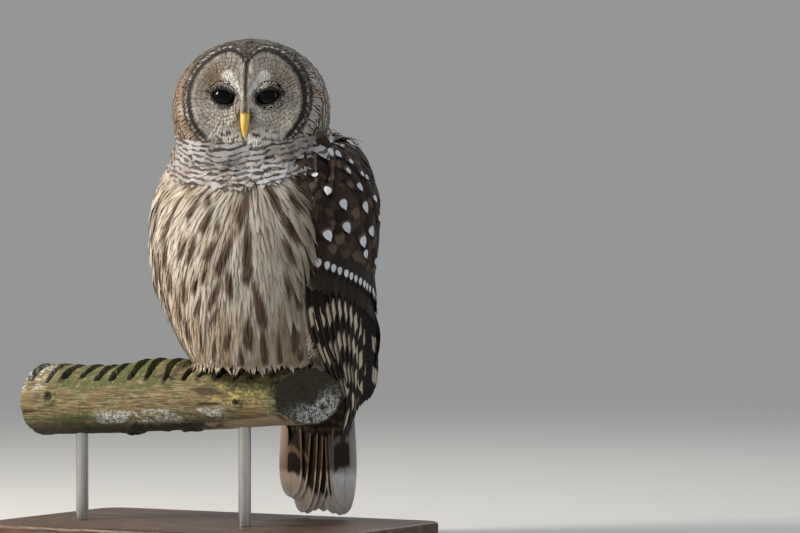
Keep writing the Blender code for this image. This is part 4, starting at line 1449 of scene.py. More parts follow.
# %% Coverts over the back and both wings
# The spots that show from the front: how far across from the owl's middle and how high, in
# millimetres, and their size. Each gets a feather of its own, laid so that its spot is there.
SEEN_SPOTS = (
    (71, 331, 0.20), (96, 334, 0.20), (82, 319, 0.18), (101, 316, 0.20), (85, 298, 0.20),
    (69, 291, 0.19), (106, 294, 0.18), (99, 285, 0.18), (101, 274, 0.15), (109, 266, 0.14),
    (65, 347, 0.16), (58, 354, 0.16), (86, 349, 0.15), (88, 357, 0.13), (102, 343, 0.13),
    (109, 323, 0.13), (112, 306, 0.12), (64, 371, 0.22), (70, 367, 0.22), (77, 364, 0.18),
    (57, 362, 0.14), (98, 346, 0.12),
)
SPOT_ROW, COVERT_ROWS, SPOT_APART = 5, 7, 0.0135


def covert_size(heights, low, high):
    return blend(low, high, smooth(0.33, 0.375, heights))


def spot_roots():
    """The roots of the feathers whose spots show, found by walking back up from the spots."""
    for across, height, size in SEEN_SPOTS:
        across, height = across / 1000, height / 1000
        place, _ = seen_from_front(hide, across, height)
        if place is not None:
            far = covert_size(height, 0.034, 0.024) * SPOT_ROW / 6
            walk, _ = lay(hide, [place], -covert_lie(turn_of(np.array([place]))), [far], 5)
            yield *walk[0, -1], size, across, height


seen = np.array(list(spot_roots()))
regular = len(roots)
roots = np.concatenate([roots, seen[:, :3]])
turns = np.concatenate([turns, turn_of(seen)])
heights = np.concatenate([heights, seen[:, 2]])
n = len(roots)
own = np.arange(n) >= regular
lies = unit(covert_lie(turns) + random.normal(0, 0.05, (n, 3)) * ~own[:, None])
lengths = covert_size(heights, 0.034, 0.024) * np.where(own, 1.0, random.uniform(0.9, 1.1, n))
shafts, outs = lay(hide, roots, lies, lengths, COVERT_ROWS)
front_in = np.array(FRONT_IN)
for k in np.flatnonzero(own):
    across, height = seen[k - regular, 4:]
    wanted = np.array([OWL.x, OWL.y, height]) + np.array(FRONT_ACROSS) * across
    off = wanted - shafts[k, SPOT_ROW]
    off = off - front_in * (off @ front_in)
    if np.linalg.norm(off) < 0.020:
        shafts[k] += off
s = along_vane(COVERT_ROWS, 1.35)
wide = covert_size(heights, 0.0088, 0.0064)[:, None] * random.uniform(0.88, 1.12, (n, 1))
half = wide * vane_width(s, 0.45, 3.4, 0.55) * (1.0 + random.normal(0, 0.03, (n, COVERT_ROWS)))
rise = 0.0042 * (0.25 + 0.75 * s) + random.uniform(-0.0003, 0.0007, (n, 1))
rise = rise + 0.0024 * own[:, None] * s
spots = np.zeros(n)
spots[own] = 1.2 * seen[:, 3]
facing = (outs[:, SPOT_ROW] @ front_in < 0.05) & (turns > 0) & ~own
for k in random.permutation(regular):
    chosen = roots[spots > 0]
    if not facing[k] and np.linalg.norm(chosen - roots[k], axis=1).min() > SPOT_APART:
        spots[k] = random.uniform(0.14, 0.20)
ground = blend(rgb(0.014, 0.010, 0.009), rgb(0.046, 0.029, 0.021),
               random.uniform(0, 1, (n, 1)) ** 1.5)
coverts = vanes(
    "back_and_coverts", spotted, shafts, outs, half, rise, trunk_plot(roots), ground,
    random.uniform(0, 1, n), camber=0.20, spot=spots, bars=0.8 * random.uniform(0, 1, n) ** 2,
)

# %% [markdown]
# ### Flight feathers
# Below the coverts each folded wing is a stack of long feathers whose outer edges show one beside
# the other. They run down and backwards and close to a point behind the log.

# %% Places on a wing
FLIGHTS, FLIGHT_ROWS = 20, 26
FLIGHT_TOP, FLIGHT_TIP = 0.262, 0.1285
FLIGHT_SHARES = along_vane(FLIGHT_ROWS, 1.9)
# The left wing's first feathers, seen from the front: how far across each one runs, in
# millimetres, at these levels. Then the height of each feather's first pale bar, and the tips.
FLIGHT_LEVELS = (0.060, 0.134, 0.163, 0.194, 0.2275, 0.264)
FLIGHT_PATHS = (
    (54.1, 55.1, 61.8, 75.0, 86.5, 82.6), (57.9, 59.8, 67.5, 78.8, 89.3, 77.0),
    (61.8, 65.1, 72.7, 82.6, 91.2, 75.0), (66.5, 71.2, 77.9, 86.0, 93.1, 74.1),
    (71.2, 77.0, 82.6, 88.8, 94.5, 77.0), (77.0, 82.6, 87.4, 91.7, 95.9, 80.8),
    (81.7, 87.9, 91.7, 94.5, 97.4, 85.5), (87.4, 92.6, 95.0, 97.4, 98.8, 90.2),
    (92.1, 96.9, 98.3, 99.8, 100.7, 94.0), (96.9, 100.7, 101.6, 102.1, 102.1, 97.8),
    (100.7, 103.5, 104.5, 105.0, 104.0, 100.7), (102.5, 105.5, 107.2, 107.8, 106.5, 102.0),
    (104.0, 107.2, 109.4, 110.2, 108.8, 104.0), (105.2, 108.6, 111.2, 112.2, 110.6, 105.5),
    (106.0, 109.6, 112.4, 113.6, 112.0, 106.5),
)
FIRST_BARS = (0.217, 0.2161, 0.219, 0.219, 0.2256, 0.2246, 0.2228, 0.218, 0.2114, 0.2037,
              0.1961, 0.1930, 0.1900, 0.1870, 0.1850, *[0.2050] * 5)
FLIGHT_TIPS = (0.128, 0.112, 0.096, 0.090, 0.094, 0.104, 0.116, 0.124, 0.128, 0.130, 0.132,
               0.133, 0.135, 0.138, 0.142)
barred_flight = feather_finish(
    "barred_flight", depth=0.0004, sheen=0.03, specular=0.10, Mark=(0.54, 0.46, 0.36),
    Bars=0.95, Bar_Count="count", Bar_Phase="phase", Bar_Share=-0.05, Bar_Start="start",
    Web_From="web", Web_To=0.72, Hand="hand", Bar_End=0.93, Edge=0.20, Shaft=0.4, Barbs=0.35,
)


def even(rows, times=3):
    """Smooths rows of places along the feathers."""
    for _ in range(times):
        rows[:, 1:-1] = (rows[:, :-2] + 2 * rows[:, 1:-1] + rows[:, 2:]) / 4
    return rows


def wing_place(side, share, height):
    """A place of the wing's outside, from its front edge (0) to its back edge (1)."""
    turn = float(blend(wing_edge(side, height), wing_edge(side, height, True), share))
    turn = turn * (1 if side == "left" else -1)
    start = round_body(turn, height, 0.3)
    way = (round_body(turn, height) - start).normalized()
    found, out = solids["wing_" + side].hit(start, way)
    if found is None:
        found, out = hide.hit(start, way)
        found = found + out * 0.0034
    return found, out


def depth_of(place):
    return (place - Vector((OWL.x, OWL.y, 0))).dot(FRONT_IN)


def shown_flight(i, heights):
    """Places down one of the left wing's first feathers, which hangs on below the wing."""
    depth, lean = 0.0, Vector((0, -1, 0))
    for k, height in enumerate(heights):
        across = np.interp(height, FLIGHT_LEVELS, FLIGHT_PATHS[i][::-1]) / 1000
        place, out = seen_from_front(solids["wing_left"], across, height)
        if k and (out is None or height < 0.140):
            if out is None:
                place = Vector((OWL.x, OWL.y, height)) + FRONT_ACROSS * across - FRONT_IN * 0.3
            place += FRONT_IN * (depth - depth_of(place))
            out = lean
        elif out is None:
            place, out = wing_place("left", 0.0 if i < 6 else 0.8, height)
        depth, lean = depth_of(place), out
        yield place, out, 0.0


def hidden_flight(side, i, heights):
    edge = i / (FLIGHTS - 1)
    for height in heights:
        share = 0.78 + 0.035 * (i - len(FLIGHT_PATHS))
        if side == "right":
            share = 0.26 + 0.66 * edge + 0.16 * float(smooth(0.23, 0.20, height)) * (1 - edge)
        place, out = wing_place(side, share, height)
        if side == "right":
            place.x += 0.032 * float(smooth(0.240, 0.185, height))
        place.y += 0.012 * edge * float(smooth(0.190, 0.145, height))
        yield place, out, 0.0


# %% The long feathers of both wings
def flights(side, seed):
    random = np.random.default_rng(seed)
    left, numbers = side == "left", np.arange(FLIGHTS)[:, None]
    first = (numbers < len(FLIGHT_PATHS)) & left
    tips = FLIGHT_TIP + 0.050 * (np.arange(FLIGHTS) / (FLIGHTS - 1)) ** 1.6
    if left:
        tips[:len(FLIGHT_TIPS)] = FLIGHT_TIPS
    reach = FLIGHT_TOP - tips
    paths = []
    for i, tip in enumerate(tips):
        heights = blend(FLIGHT_TOP, tip, FLIGHT_SHARES)
        paths.append(list(shown_flight(i, heights) if first[i] else
                          hidden_flight(side, i, heights)))
    shafts, outs = (np.array([[row[k] for row in path] for path in paths]) for k in (0, 1))
    shafts, outs = even(shafts, 5), unit(even(outs, 8))
    turned = 1.3 * smooth(6, 12, numbers) * first
    outs = unit(outs - turned[..., None] * front_in)
    s = FLIGHT_SHARES
    half = np.where(first, 0.0062, 0.0080) * vane_width(s, 0.7, 9.0, 0.5)
    rise = -0.0010 + 0.00012 * numbers - 0.0045 * np.where(
        numbers < 4, smooth(0.28, 0.06, s), smooth(0.07, 0.0, s))
    rise = rise - 0.0030 * smooth(7, 13, numbers) * smooth(0.60, 0.35, s)
    ground = rgb(0.012, 0.009, 0.008) * random.uniform(0.8, 1.2, (FLIGHTS, 1))
    period = np.interp(numbers[:, 0], (0, 3, 4, 19), (0.034, 0.034, 0.030, 0.030))
    down = FLIGHT_TOP - np.array(FIRST_BARS) + random.normal(0, 0.0006, FLIGHTS)
    return vanes(
        "flight_feathers_" + side, barred_flight, shafts, outs, half, rise,
        line_plot(FLIGHTS), ground, random.uniform(0, 1, FLIGHTS), camber=0.03,
        shares=FLIGHT_SHARES, tilt=0.30 if left else -0.30, count=reach / period,
        phase=0.25 - down / period, start=(down - 0.4 * period) / reach,
        web=np.where(numbers[:, 0] > 11, -0.90, -0.10),
        hand=np.full(FLIGHTS, 1.0 if left else -1.0),
    )


wing_flights = [flights("left", 61), flights("right", 62)]

# %% [markdown]
# The greater coverts are two rows of feathers over the roots of the flight feathers. Each of the
# upper row has a small white spot near its tip, and the spots make a slanting line across the
# wing.

# %% Greater coverts
def greater_coverts(name, side, seed, first, drop, size, count=22, rows=9):
    """One row: where it starts along the wing, how much lower it hangs, the size of its spots."""
    random = np.random.default_rng(seed)
    shafts, outs = np.empty((count, rows, 3)), np.empty((count, rows, 3))
    for i, edge in enumerate(np.arange(count) / (count - 1)):
        tip = float(covert_row_tip(edge)) - drop
        for k, height in enumerate(np.linspace(tip + 0.034, tip, rows)):
            shafts[i, k], outs[i, k] = wing_place(side, blend(first, 0.94, edge), height)
    s = along_vane(rows, 1.2)
    half = 0.0060 * vane_width(s, 0.6, 5.0, 0.5) * np.ones((count, 1))
    rise = -0.0030 + 0.0062 * s + 0.00006 * np.arange(count)[:, None] - (0.0016 if drop else 0)
    ground = rgb(0.030, 0.021, 0.017) * random.uniform(0.8, 1.3, (count, 1))
    return vanes(
        name + side, spotted, even(shafts), unit(even(outs, 4)), half, rise,
        line_plot(count), ground, random.uniform(0, 1, count),
        spot=size * np.linspace(1.0, 0.62, count), bars=np.zeros(count),
    )


row_coverts = [greater_coverts(*values) for values in (
    ("greater_coverts_", "left", 63, 0.03, 0.0, 0.16),
    ("greater_coverts_", "right", 64, 0.22, 0.0, 0.16),
    ("lower_coverts_", "left", 65, -0.02, 0.015, 0.0),
    ("lower_coverts_", "right", 66, 0.22, 0.015, 0.0),
)]

# %% [markdown]
# ### Tail
# Twelve long barred feathers make the tail. The middle pair lies on top, seen from behind, and
# the outer ones slide under it, so from the front the outer ones lie nearest. Shorter coverts
# hide their roots on both sides.

# %% The tail's long feathers
TAIL_LOW, TAIL_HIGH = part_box("tail")
TAIL_MIDDLE = (TAIL_LOW.x + TAIL_HIGH.x) / 2
BACKWARDS = Vector((0, 1, 0))


def tail_place(x, height):
    """A place of the tail's back."""
    found, out = solids["tail"].hit(Vector((x, 0.4, height)), -BACKWARDS)
    return (found, out) if found is not None else (
        Vector((x, TAIL_HIGH.y - 0.004, height)), BACKWARDS)


barred_tail = feather_finish(
    "barred_tail", depth=0.0004, sheen=0.04, specular=0.10, Mark=(0.020, 0.013, 0.010),
    Pale=(0.86, 0.83, 0.79), Bars=0.97, Bar_Count="count", Bar_Phase="phase", Bar_Share="dark",
    Web_From="web_from", Web_To="web_to", Bar_End="end", Fringe=0.020, Shaft=0.25,
    Barbs=0.5,
)
# Each feather of the tail, seen from the front: how far across it runs at its root, half way
# and at its tip, in millimetres; its tip's height; its place in the stack, nearest at 1; the
# height of a dark bar's middle, how wide the bars are, and the height where they end; and
# between which shares of the feather's width they run.
TAIL_FEATHERS = (
    (34.8, 33.8, 33.8, 0.035, 1.0, 0.0678, 0.75, 0.0582, -0.3, 0.84),
    (45.4, 40.6, 37.7, 0.0321, 0.93, 0.0659, 0.85, 0.0553, -0.86, 0.88),
    (52.2, 48.3, 44.4, 0.0205, 0.75, 0.0592, 2.0, 0.0456, -0.86, 0.88),
    (57.0, 54.1, 49.3, 0.0195, 0.6, 0.0543, 2.0, 0.0427, -0.86, 0.88),
    (62.8, 59.9, 56.0, 0.0224, 0.4, 0.0534, 2.0, 0.0408, -0.86, 0.88),
    (67.6, 66.7, 64.7, 0.0224, 0.2, 0.0553, 2.0, 0.0389, -0.88, 0.88),
    (71.5, 73.4, 74.4, 0.0205, 0.1, 0.0592, 2.0, 0.0398, -0.88, 0.86),
    (76.3, 79.2, 81.2, 0.0195, 0.3, 0.0669, 2.0, 0.0427, -0.88, 0.86),
    (80.2, 83.1, 85.0, 0.0205, 0.5, 0.0727, 1.6, 0.0456, -0.88, 0.84),
    (83.1, 85.0, 86.5, 0.0234, 0.7, 0.0756, 0.8, 0.0505, -0.88, 0.8),
    (85.0, 86.5, 87.0, 0.0273, 0.85, 0.0765, 0.8, 0.0553, -0.88, 0.7),
    (86.0, 87.0, 87.4, 0.0321, 1.0, 0.0785, 0.8, 0.0611, -0.88, 0.4),
)
TAIL_COUNT, TAIL_ROWS = len(TAIL_FEATHERS), 26
TAIL_SHARES = along_vane(TAIL_ROWS, 2.0)
TAIL_TOP, TAIL_WIDE, TAIL_LEVEL = TAIL_HIGH.z - 0.02, 0.0135, 0.046
(*lines, tips, order, dark_at, dark, dark_end, web_from, web_to) = np.array(TAIL_FEATHERS).T
random = np.random.default_rng(71)
shafts = np.empty((TAIL_COUNT, TAIL_ROWS, 3))
outs = np.empty((TAIL_COUNT, TAIL_ROWS, 3))
for i, line in enumerate(zip(*lines[::-1])):
    for k, height in enumerate(blend(TAIL_TOP, tips[i], TAIL_SHARES)):
        across = np.interp(height, (tips[i], 0.066, 0.109), line) / 1000
        place, out = tail_place(TAIL_MIDDLE, max(height, TAIL_LEVEL))
        for _ in range(2):
            x = (across - 0.5 * (place.y - OWL.y)) / FRONT_ACROSS.x
            place, out = tail_place(OWL.x + x, max(height, TAIL_LEVEL))
        shafts[i, k], outs[i, k] = place, out
        shafts[i, k, 2] = height
shafts, outs = even(shafts), unit(even(outs, 8) + 2.0 * np.array(BACKWARDS))
s = TAIL_SHARES
half = TAIL_WIDE * blend(0.65, 1.0, smooth(0.2, 0.9, s)) * vane_width(s, 0.8, 14.0, 0.5)
half = half * np.ones((TAIL_COUNT, 1))
rise = -0.0004 - 0.0036 * order[:, None] * blend(1.0, 0.75, s)


def tail_colour(places):
    """Pale tips, browner above them; warmer on the right side and bluish grey on the left, which
    is painted warm key light and cool fill light.
    """
    across = places[:, 0] - TAIL_MIDDLE
    # The bluish grey towards the owl's left is painted cool fill light, and the warmth on its
    # right is painted key light.
    grey = smooth(0.0, 0.018, across)
    tones = painted(rgb(0.80, 0.64, 0.50), rgb(0.66, 0.69, 0.76), grey)
    brown = painted(rgb(0.165, 0.105, 0.066), rgb(0.105, 0.10, 0.105), grey)
    brown = painted(brown, tones * 0.55, smooth(0.033, 0.037, np.abs(across)))
    tips = 0.004 * soft_noise(places, 0.012, 3.0)
    return painted(tones, brown, smooth(0.056, 0.064, places[:, 2] + tips))


reach = TAIL_TOP - tips
period = blend(0.0275, 0.0320, np.linspace(0, 1, TAIL_COUNT))
tail = vanes(
    "tail_feathers", barred_tail, shafts, outs, half, rise, line_plot(TAIL_COUNT), tail_colour,
    random.uniform(0, 1, TAIL_COUNT), camber=0.08, shares=TAIL_SHARES,
    tilt=0.16 * np.clip((np.arange(TAIL_COUNT) - 5.5) / 2, -1, 1)[:, None, None],
    count=reach / period, phase=0.25 - (TAIL_TOP - dark_at) / period, dark=dark,
    end=(TAIL_TOP - dark_end) / reach, web_from=web_from, web_to=web_to,
)

# %% The coverts over the tail's root, behind and below
dark_down = feather_finish(
    "tail_covert", sheen=0.04, specular=0.10, Mark=(0.070, 0.048, 0.034), Bars=0.8, Bar_Count=3.0,
    Bar_Share=-0.45, Barbs=0.5,
)


def tail_coverts(name, start_y, way, low, high, seed, tone, length):
    """Feathers that hang over the tail's root, on its front or its back."""
    random = np.random.default_rng(seed)
    roots = []
    for row, height in enumerate(np.arange(low, high, 0.0095)):
        for across in np.arange(-0.038 + 0.0035 * (row % 2), 0.034, 0.0075):
            x = TAIL_MIDDLE + across + random.normal(0, 0.001)
            found, out = hide.hit(Vector((x, start_y, height)), way)
            if found is not None and abs(out.z) < 0.7:
                roots.append(found)
    return coat(
        name, dark_down, trunk_plot, random, np.array(roots), DOWN, length, 0.0068,
        (0.45, 3.5, 0.55), 0.0040, tone, rows=7, crowd=1.3, low=0.2, shades=(0.8, 1.2),
        hold=0.5,
    )


rump = tail_coverts("rump_feathers", 0.4, -BACKWARDS, 0.170, 0.252, 72,
                    (0.022, 0.015, 0.012), 0.045)
# Under the tail the coverts are laid near black: painted shadow of the log; their own colour is
# much paler.
under_tail = tail_coverts("under_tail_feathers", OWL.y + 0.040, BACKWARDS, 0.105, 0.165, 73,
                          (0.022, 0.016, 0.012), 0.030)


# %% [markdown]
# ## The bare parts of the owl
# Only the eyes, the eyelids, the bill, the claws and the soles are bare. The eye is a nearly
# black brown ball under a clear, wet front.

# %% Eyes
def eye_piece(side):
    """A ball with a slightly raised clear front, whose pole looks the way the head looks."""
    bpy.ops.object.select_all(action="DESELECT")
    bpy.ops.mesh.primitive_uv_sphere_add(segments=48, ring_count=32, radius=EYE_RADIUS)
    piece = bpy.context.object
    piece.name = "eyeball_" + side
    places = places_of(piece)
    places[:, 2] += EYE_BULGE * smooth(0.45, 1.0, places[:, 2] / EYE_RADIUS)
    turn = np.array([tuple(HEAD_LEFT), (0, 0, 1), tuple(HEAD_AHEAD)])
    move_to(piece, places @ turn + np.array(EYES[side]))
    turn_outwards(piece)
    bpy.ops.object.shade_smooth()
    carry(piece.data, "front", places[:, 2] / EYE_RADIUS)
    return piece


eye_finish, tree = new_finish("dark_eye")
front = measured(tree, "front")
streaks = grain(object_place(tree), (900, 900, 900), 2.0)
finished(
    eye_finish,
    layered(tint(streaks, (0.008, 0.005, 0.004), (0.022, 0.012, 0.008)),
            (band(front, 0.86, 0.90), (0.002, 0.002, 0.003)),
            (band(front, 0.60, 0.70, 1.0, 0.0), (0.008, 0.006, 0.006))),
    band(front, 0.4, 0.9, 0.16, 0.06),
    Specular_IOR_Level=0.10, Coat_Weight=0.08, Coat_Roughness=0.02,
)
eyeballs = [eye_piece(side) for side in SIDES]
for piece in eyeballs:
    piece.data.materials.append(eye_finish)

# %% [markdown]
# The skin carries the same colours as the coat over it, so nothing pale shows through a dark
# part.

# %% The skin's colours
places = places_of(skin)
side, up, ahead = on_head(places)
turn, height = np.abs(turn_of(places)), places[:, 2]
edge = wing_edge("left", height)
back_share = smooth(edge - 4, edge + 4, turn) * smooth(0.165, 0.190, height)
tones = painted(rgb(0.50, 0.41, 0.32), rgb(0.035, 0.025, 0.020), back_share)
neck = smooth(0.335, 0.350, height) * (1 - smooth(46, 56, turn))
tones = painted(tones, rgb(0.30, 0.26, 0.22), neck)
tones = painted(tones, rgb(0.085, 0.060, 0.042), smooth(0.370, 0.385, height))
in_face = (disc_share(side, up) < 0.97) & (ahead > 0.025)
tones[in_face] = head_colour(places[in_face]) * 0.75
near_eye = np.minimum(*(np.linalg.norm(places - np.array(EYES[s]), axis=1) for s in SIDES))
lids = 1 - smooth(EYE_RADIUS + 0.0030, EYE_RADIUS + 0.0038, near_eye)
carry(skin.data, "ground", painted(tones, rgb(0.006, 0.005, 0.005), lids))
skin_finish, tree = new_finish("skin_under_coat")
down = grain(object_place(tree), (900, 900, 260), 4.0, 0.7)
shade = band(down, 0.25, 0.75, 0.65, 1.25)
finished(skin_finish, scaled(measured(tree, "ground", "Color"), shade),
         band(down, 0.2, 0.8, 0.7, 0.95), down, 0.0006)
skin.data.materials.clear()
skin.data.materials.append(skin_finish)

# %% [markdown]
# The bill is the solids' own shape made round: a copy whose faces are divided and smoothed. It
# is yellow horn, greener at the root and paler in patches.

# %% Bill
def rounded_copy(name, nodes):
    piece = copy_of(name, nodes)
    applied(piece, "SUBSURF", levels=2, render_levels=2)
    choose(piece)
    bpy.ops.object.shade_smooth()
    return piece


bill = rounded_copy("bill_horn", ["bill_upper", "bill_lower"])
bill_low, bill_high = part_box("bill_upper")
bill_finish, tree = new_finish("bill_horn")
place = object_place(tree)
fibres = grain(place, (1500, 1500, 180), 4.0, 0.6)
cloud = grain(place, 190.0)
rise = band(split(place)[2], bill_low.z, bill_high.z)
finished(
    bill_finish,
    layered(tint(rise, (0.86, 0.50, 0.045), (0.62, 0.42, 0.10)),
            (band(cloud, 0.40, 0.70, 0.0, 0.6), (0.93, 0.66, 0.16)),
            (band(fibres, 0.45, 0.75, 0.0, 0.35), (0.42, 0.27, 0.06))),
    band(fibres, 0.2, 0.8, 0.28, 0.50), fibres, 0.0002,
    Subsurface_Weight=0.15, Subsurface_Scale=0.002,
)
bill.data.materials.append(bill_finish)

# %% Claws
CLAWS = [f"claw_{toe}_{side}" for toe in ("inner", "middle", "outer", "hind") for side in SIDES]
claws = rounded_copy("claws", CLAWS)
claw_finish, tree = new_finish("claw_horn")
place = object_place(tree)
fibres = grain(place, (1600, 300, 300), 4.0, 0.6)
cloud = band(grain(place, 260.0), 0.35, 0.7)
finished(
    claw_finish,
    layered(tint(cloud, (0.020, 0.017, 0.016), (0.075, 0.062, 0.052)),
            (band(fibres, 0.5, 0.8, 0.0, 0.4), (0.13, 0.11, 0.09))),
    band(fibres, 0.2, 0.8, 0.22, 0.45), fibres, 0.0002,
)
claws.data.materials.append(claw_finish)

# %% [markdown]
# Short plain down covers the legs, the toes, and the underside of the belly over them.

# %% Down on the legs, the feet and under the belly
def skin_spots(spacing, wanted, seed):
    """Faces of the skin in a shuffled order, kept where none stands nearer than the spacing."""
    random = np.random.default_rng(seed)
    centres = np.array([tuple(p.center) for p in skin.data.polygons])
    facing = np.array([tuple(p.normal) for p in skin.data.polygons])
    picked = np.flatnonzero(wanted(centres, facing))
    random.shuffle(picked)
    cells, kept = {}, []
    for k in picked:
        cell = tuple(np.floor(centres[k] / spacing).astype(int))
        near = [c for a in (-1, 0, 1) for b in (-1, 0, 1) for d in (-1, 0, 1)
                for c in cells.get((cell[0] + a, cell[1] + b, cell[2] + d), ())]
        if all(np.linalg.norm(centres[k] - centres[c]) > spacing for c in near):
            cells.setdefault(cell, []).append(k)
            kept.append(k)
    return centres[kept], random


def on_legs(centres, facing):
    low = centres[:, 2] < 0.1905
    wide = np.abs(centres[:, 0] - OWL.x) < 0.045
    deep = np.abs(centres[:, 1] - OWL.y) < 0.045
    return low & wide & deep & ~under_belly(centres, facing)


def under_belly(centres, facing):
    level = (facing[:, 2] < -0.35) & (centres[:, 2] < 0.200) & (centres[:, 2] > 0.158)
    return level & (centres[:, 1] < OWL.y + 0.070) & (np.hypot(
        centres[:, 0] - OWL.x, centres[:, 1] - OWL.y - 0.006) > 0.030)


down_finish = feather_finish("plain_down", depth=0.0003, Mark=(0.2, 0.15, 0.1), Barbs=0.7)


def down_coat(name, spacing, wanted, length, width, lift, seed, tone, outwards):
    roots, random = skin_spots(spacing, wanted, seed)
    n = len(roots)
    away = roots - np.array((OWL.x, OWL.y + 0.006, 0.20))
    away[:, 2] = 0
    lies = unit(unit(away) * outwards + DOWN + random.normal(0, 0.15, (n, 3)))
    shafts, outs = lay(hide, roots, lies, length * random.uniform(0.7, 1.2, n), 4)
    s = along_vane(4, 1.0)
    half = width / 2 * random.uniform(0.8, 1.2, (n, 1)) * vane_width(s, 0.7, 2.0, 0.8)
    rise = lift * (0.3 + 0.7 * s) * random.uniform(0.7, 1.2, (n, 1))
    ground = np.array(tone) * random.uniform(0.8, 1.15, (n, 1))
    return vanes(name, down_finish, shafts, outs, half, rise, trunk_plot(roots), ground,
                 random.uniform(0, 1, n), **FINE)


leg_down = down_coat("leg_down", 0.0021, on_legs, 0.0065, 0.0016, 0.0012, 81,
                     (0.55, 0.45, 0.34), 0.4)
belly_down = down_coat("belly_down", 0.0036, under_belly, 0.0130, 0.0034, 0.0022, 82,
                       (0.60, 0.50, 0.39), 1.2)


# %% [markdown]
# ## The log
# The perch is a weathered softwood log without its bark. Somebody sawed a row of slanting notches
# across its top for grip. Moss has filled the left ones, lichen grows on the front, and the
# right end was sawn off askew. Its surface is a fine sheet of rings about the log's axis, whose
# notches, swellings and end follow the solid.

# %% The log's measures
LOG_LOW, LOG_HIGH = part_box("perch")
LOG_LEFT, LOG_RIGHT = LOG_LOW.x - OWL.x + 0.0032, 0.060  # along the log, from the owl
LOG_AXIS, LOG_SLOPE = 0.1390, 0.040
LOG_RADII, LOG_SKEW = (0.0350, 0.0272), 0.22
HUMP_FROM, HUMP_FULL, HUMP_END, HUMP_HEIGHT = -0.160, -0.100, -0.070, 0.0075
NOTCH_FIRST, NOTCH_PITCH, NOTCH_COUNT = -0.2270, 0.0186, 15
NOTCH_DEPTHS, NOTCH_HALF = (0.0165, 0.0110), 0.0030
END_TURN = math.tan(math.radians(37.0))
AROUND, ALONG = 220, 250
print("log from", LOG_LEFT, "to", LOG_RIGHT)


def wood_noise(x, a, size, stretch, seed):
    """Noise over the log's side, longer along the grain by `stretch`."""
    flat = np.stack([x / (size * stretch), 0.031 * np.cos(a) / size, 0.031 * np.sin(a) / size],
                    axis=-1).reshape(-1, 3)
    values = [noise.noise(Vector(p) + Vector((seed, seed, seed))) for p in flat]
    return np.array(values).reshape(np.shape(x))


# %% The rings
stations = np.linspace(LOG_LEFT, LOG_RIGHT, ALONG)
turns = np.linspace(0, 2 * math.pi, AROUND, endpoint=False)
x, a = np.meshgrid(stations, turns, indexing="ij")
share = (x - LOG_LEFT) / (LOG_RIGHT - LOG_LEFT)
radius = blend(*LOG_RADII, share)
start = np.sqrt(np.clip(1.0 - (1.0 - np.clip((x - LOG_LEFT) / 0.011, 0, 1)) ** 2, 0, 1))
lump = 1.0 + 0.016 * np.sin(3 * a + 17 * x) + 0.010 * np.sin(5 * a - 31 * x)
broad = wood_noise(x, a, 0.020, 2.5, 1.0)
fine = wood_noise(x, a, 0.0035, 5.0, 2.0)
pits = wood_noise(x, a, 0.0022, 1.0, 3.0)
top = np.sin(a)
b = (math.pi - a) % (2 * math.pi)  # a half turn is the middle of the log's front
y, z = -radius * lump * np.cos(a), radius * lump * np.sin(a)
upper = top > 0
y = np.where(upper, y / lump, y)
hump = HUMP_HEIGHT * smooth(HUMP_FROM, HUMP_FULL, x)
hump = hump * (1.0 - smooth(HUMP_END - 0.003, HUMP_END + 0.003, x - 0.10 * y))
z = np.where(upper, z / lump + hump * np.clip(top, 0, 1) ** 1.5, z)

# %% Notches, as saw cuts that lean over the top
numbers = np.arange(NOTCH_COUNT)
cuts = NOTCH_FIRST + NOTCH_PITCH * numbers + 0.0014 * np.sin(2.3 * numbers)
cut = np.zeros_like(x)
lean = x + 0.0028 * wood_noise(x, a, 0.012, 1.0, 5.0)
for n, at in enumerate(cuts):
    deep = blend(*NOTCH_DEPTHS, (at - LOG_LEFT) / (LOG_RIGHT - LOG_LEFT))
    deep *= 1.0 + 0.12 * math.sin(1.7 * n)
    half = NOTCH_HALF * (1.0 + 0.20 * math.cos(2.9 * n))
    off = lean - at
    wall = 1.0 - smooth(half - 0.0012, half + 0.0007, np.abs(off))
    cut = np.maximum(cut, wall * (deep + 0.0012 * np.sin(900 * y + n)))
# Between two cuts the wood is chipped: higher on its right side and rounded to its left.
step = (lean - cuts[0]) / NOTCH_PITCH
saw = (step - np.floor(step)) * smooth(-0.3, 0.0, step) * smooth(15.2, 14.6, step)
chip = (0.0026 * (1.0 - saw) + 0.0010 * fine) * smooth(0.35, 0.75, top) * (step > -0.2)
z = z - chip
limit = radius - cut
z = np.where((cut > 0.0002) & upper, np.minimum(z, limit), z)
in_cut = ((cut > 0.0045) & upper & (z >= limit - 0.0006)).astype(float)

# %% Grain, cracks and knots
rough = 0.0009 * broad + 0.00055 * fine + 0.00030 * pits
crack = smooth(0.42, 0.60, wood_noise(x, a, 0.0060, 9.0, 8.0))
rough = rough - 0.0011 * crack
knots = ((-0.200, 3.04, 0.0062), (0.004, 3.30, 0.0042), (-0.128, 4.60, 0.0070),
         (-0.065, 4.62, 0.0080), (-0.110, 6.00, 0.0050))
knot = np.zeros_like(x)
for at, angle, size in knots:
    apart = np.hypot(x - at, radius * (b - angle)) / size
    knot = np.maximum(knot, np.exp(-(apart**2)))
    rough = rough + 0.0020 * np.exp(-((apart - 0.9) / 0.35) ** 2) - 0.0022 * np.exp(
        -((apart / 0.5) ** 2))
lumps = smooth(0.5, 0.9, top * -1.0) * smooth(0.15, 0.55, wood_noise(x, a, 0.011, 1.6, 11.0))
rough = rough + 0.0022 * lumps * smooth(-0.16, -0.12, x) * smooth(-0.04, -0.08, x)
y = y - rough * np.cos(a)
z = z + rough * top
y, z = y * start, z * start
skew = blend(LOG_SKEW, END_TURN, smooth(LOG_RIGHT - 0.030, LOG_RIGHT, x))
left_skew = smooth(LOG_LEFT, LOG_LEFT + 0.012, x)
rings = np.stack([x + skew * left_skew * y, y, LOG_AXIS + LOG_SLOPE * x + z], axis=-1)

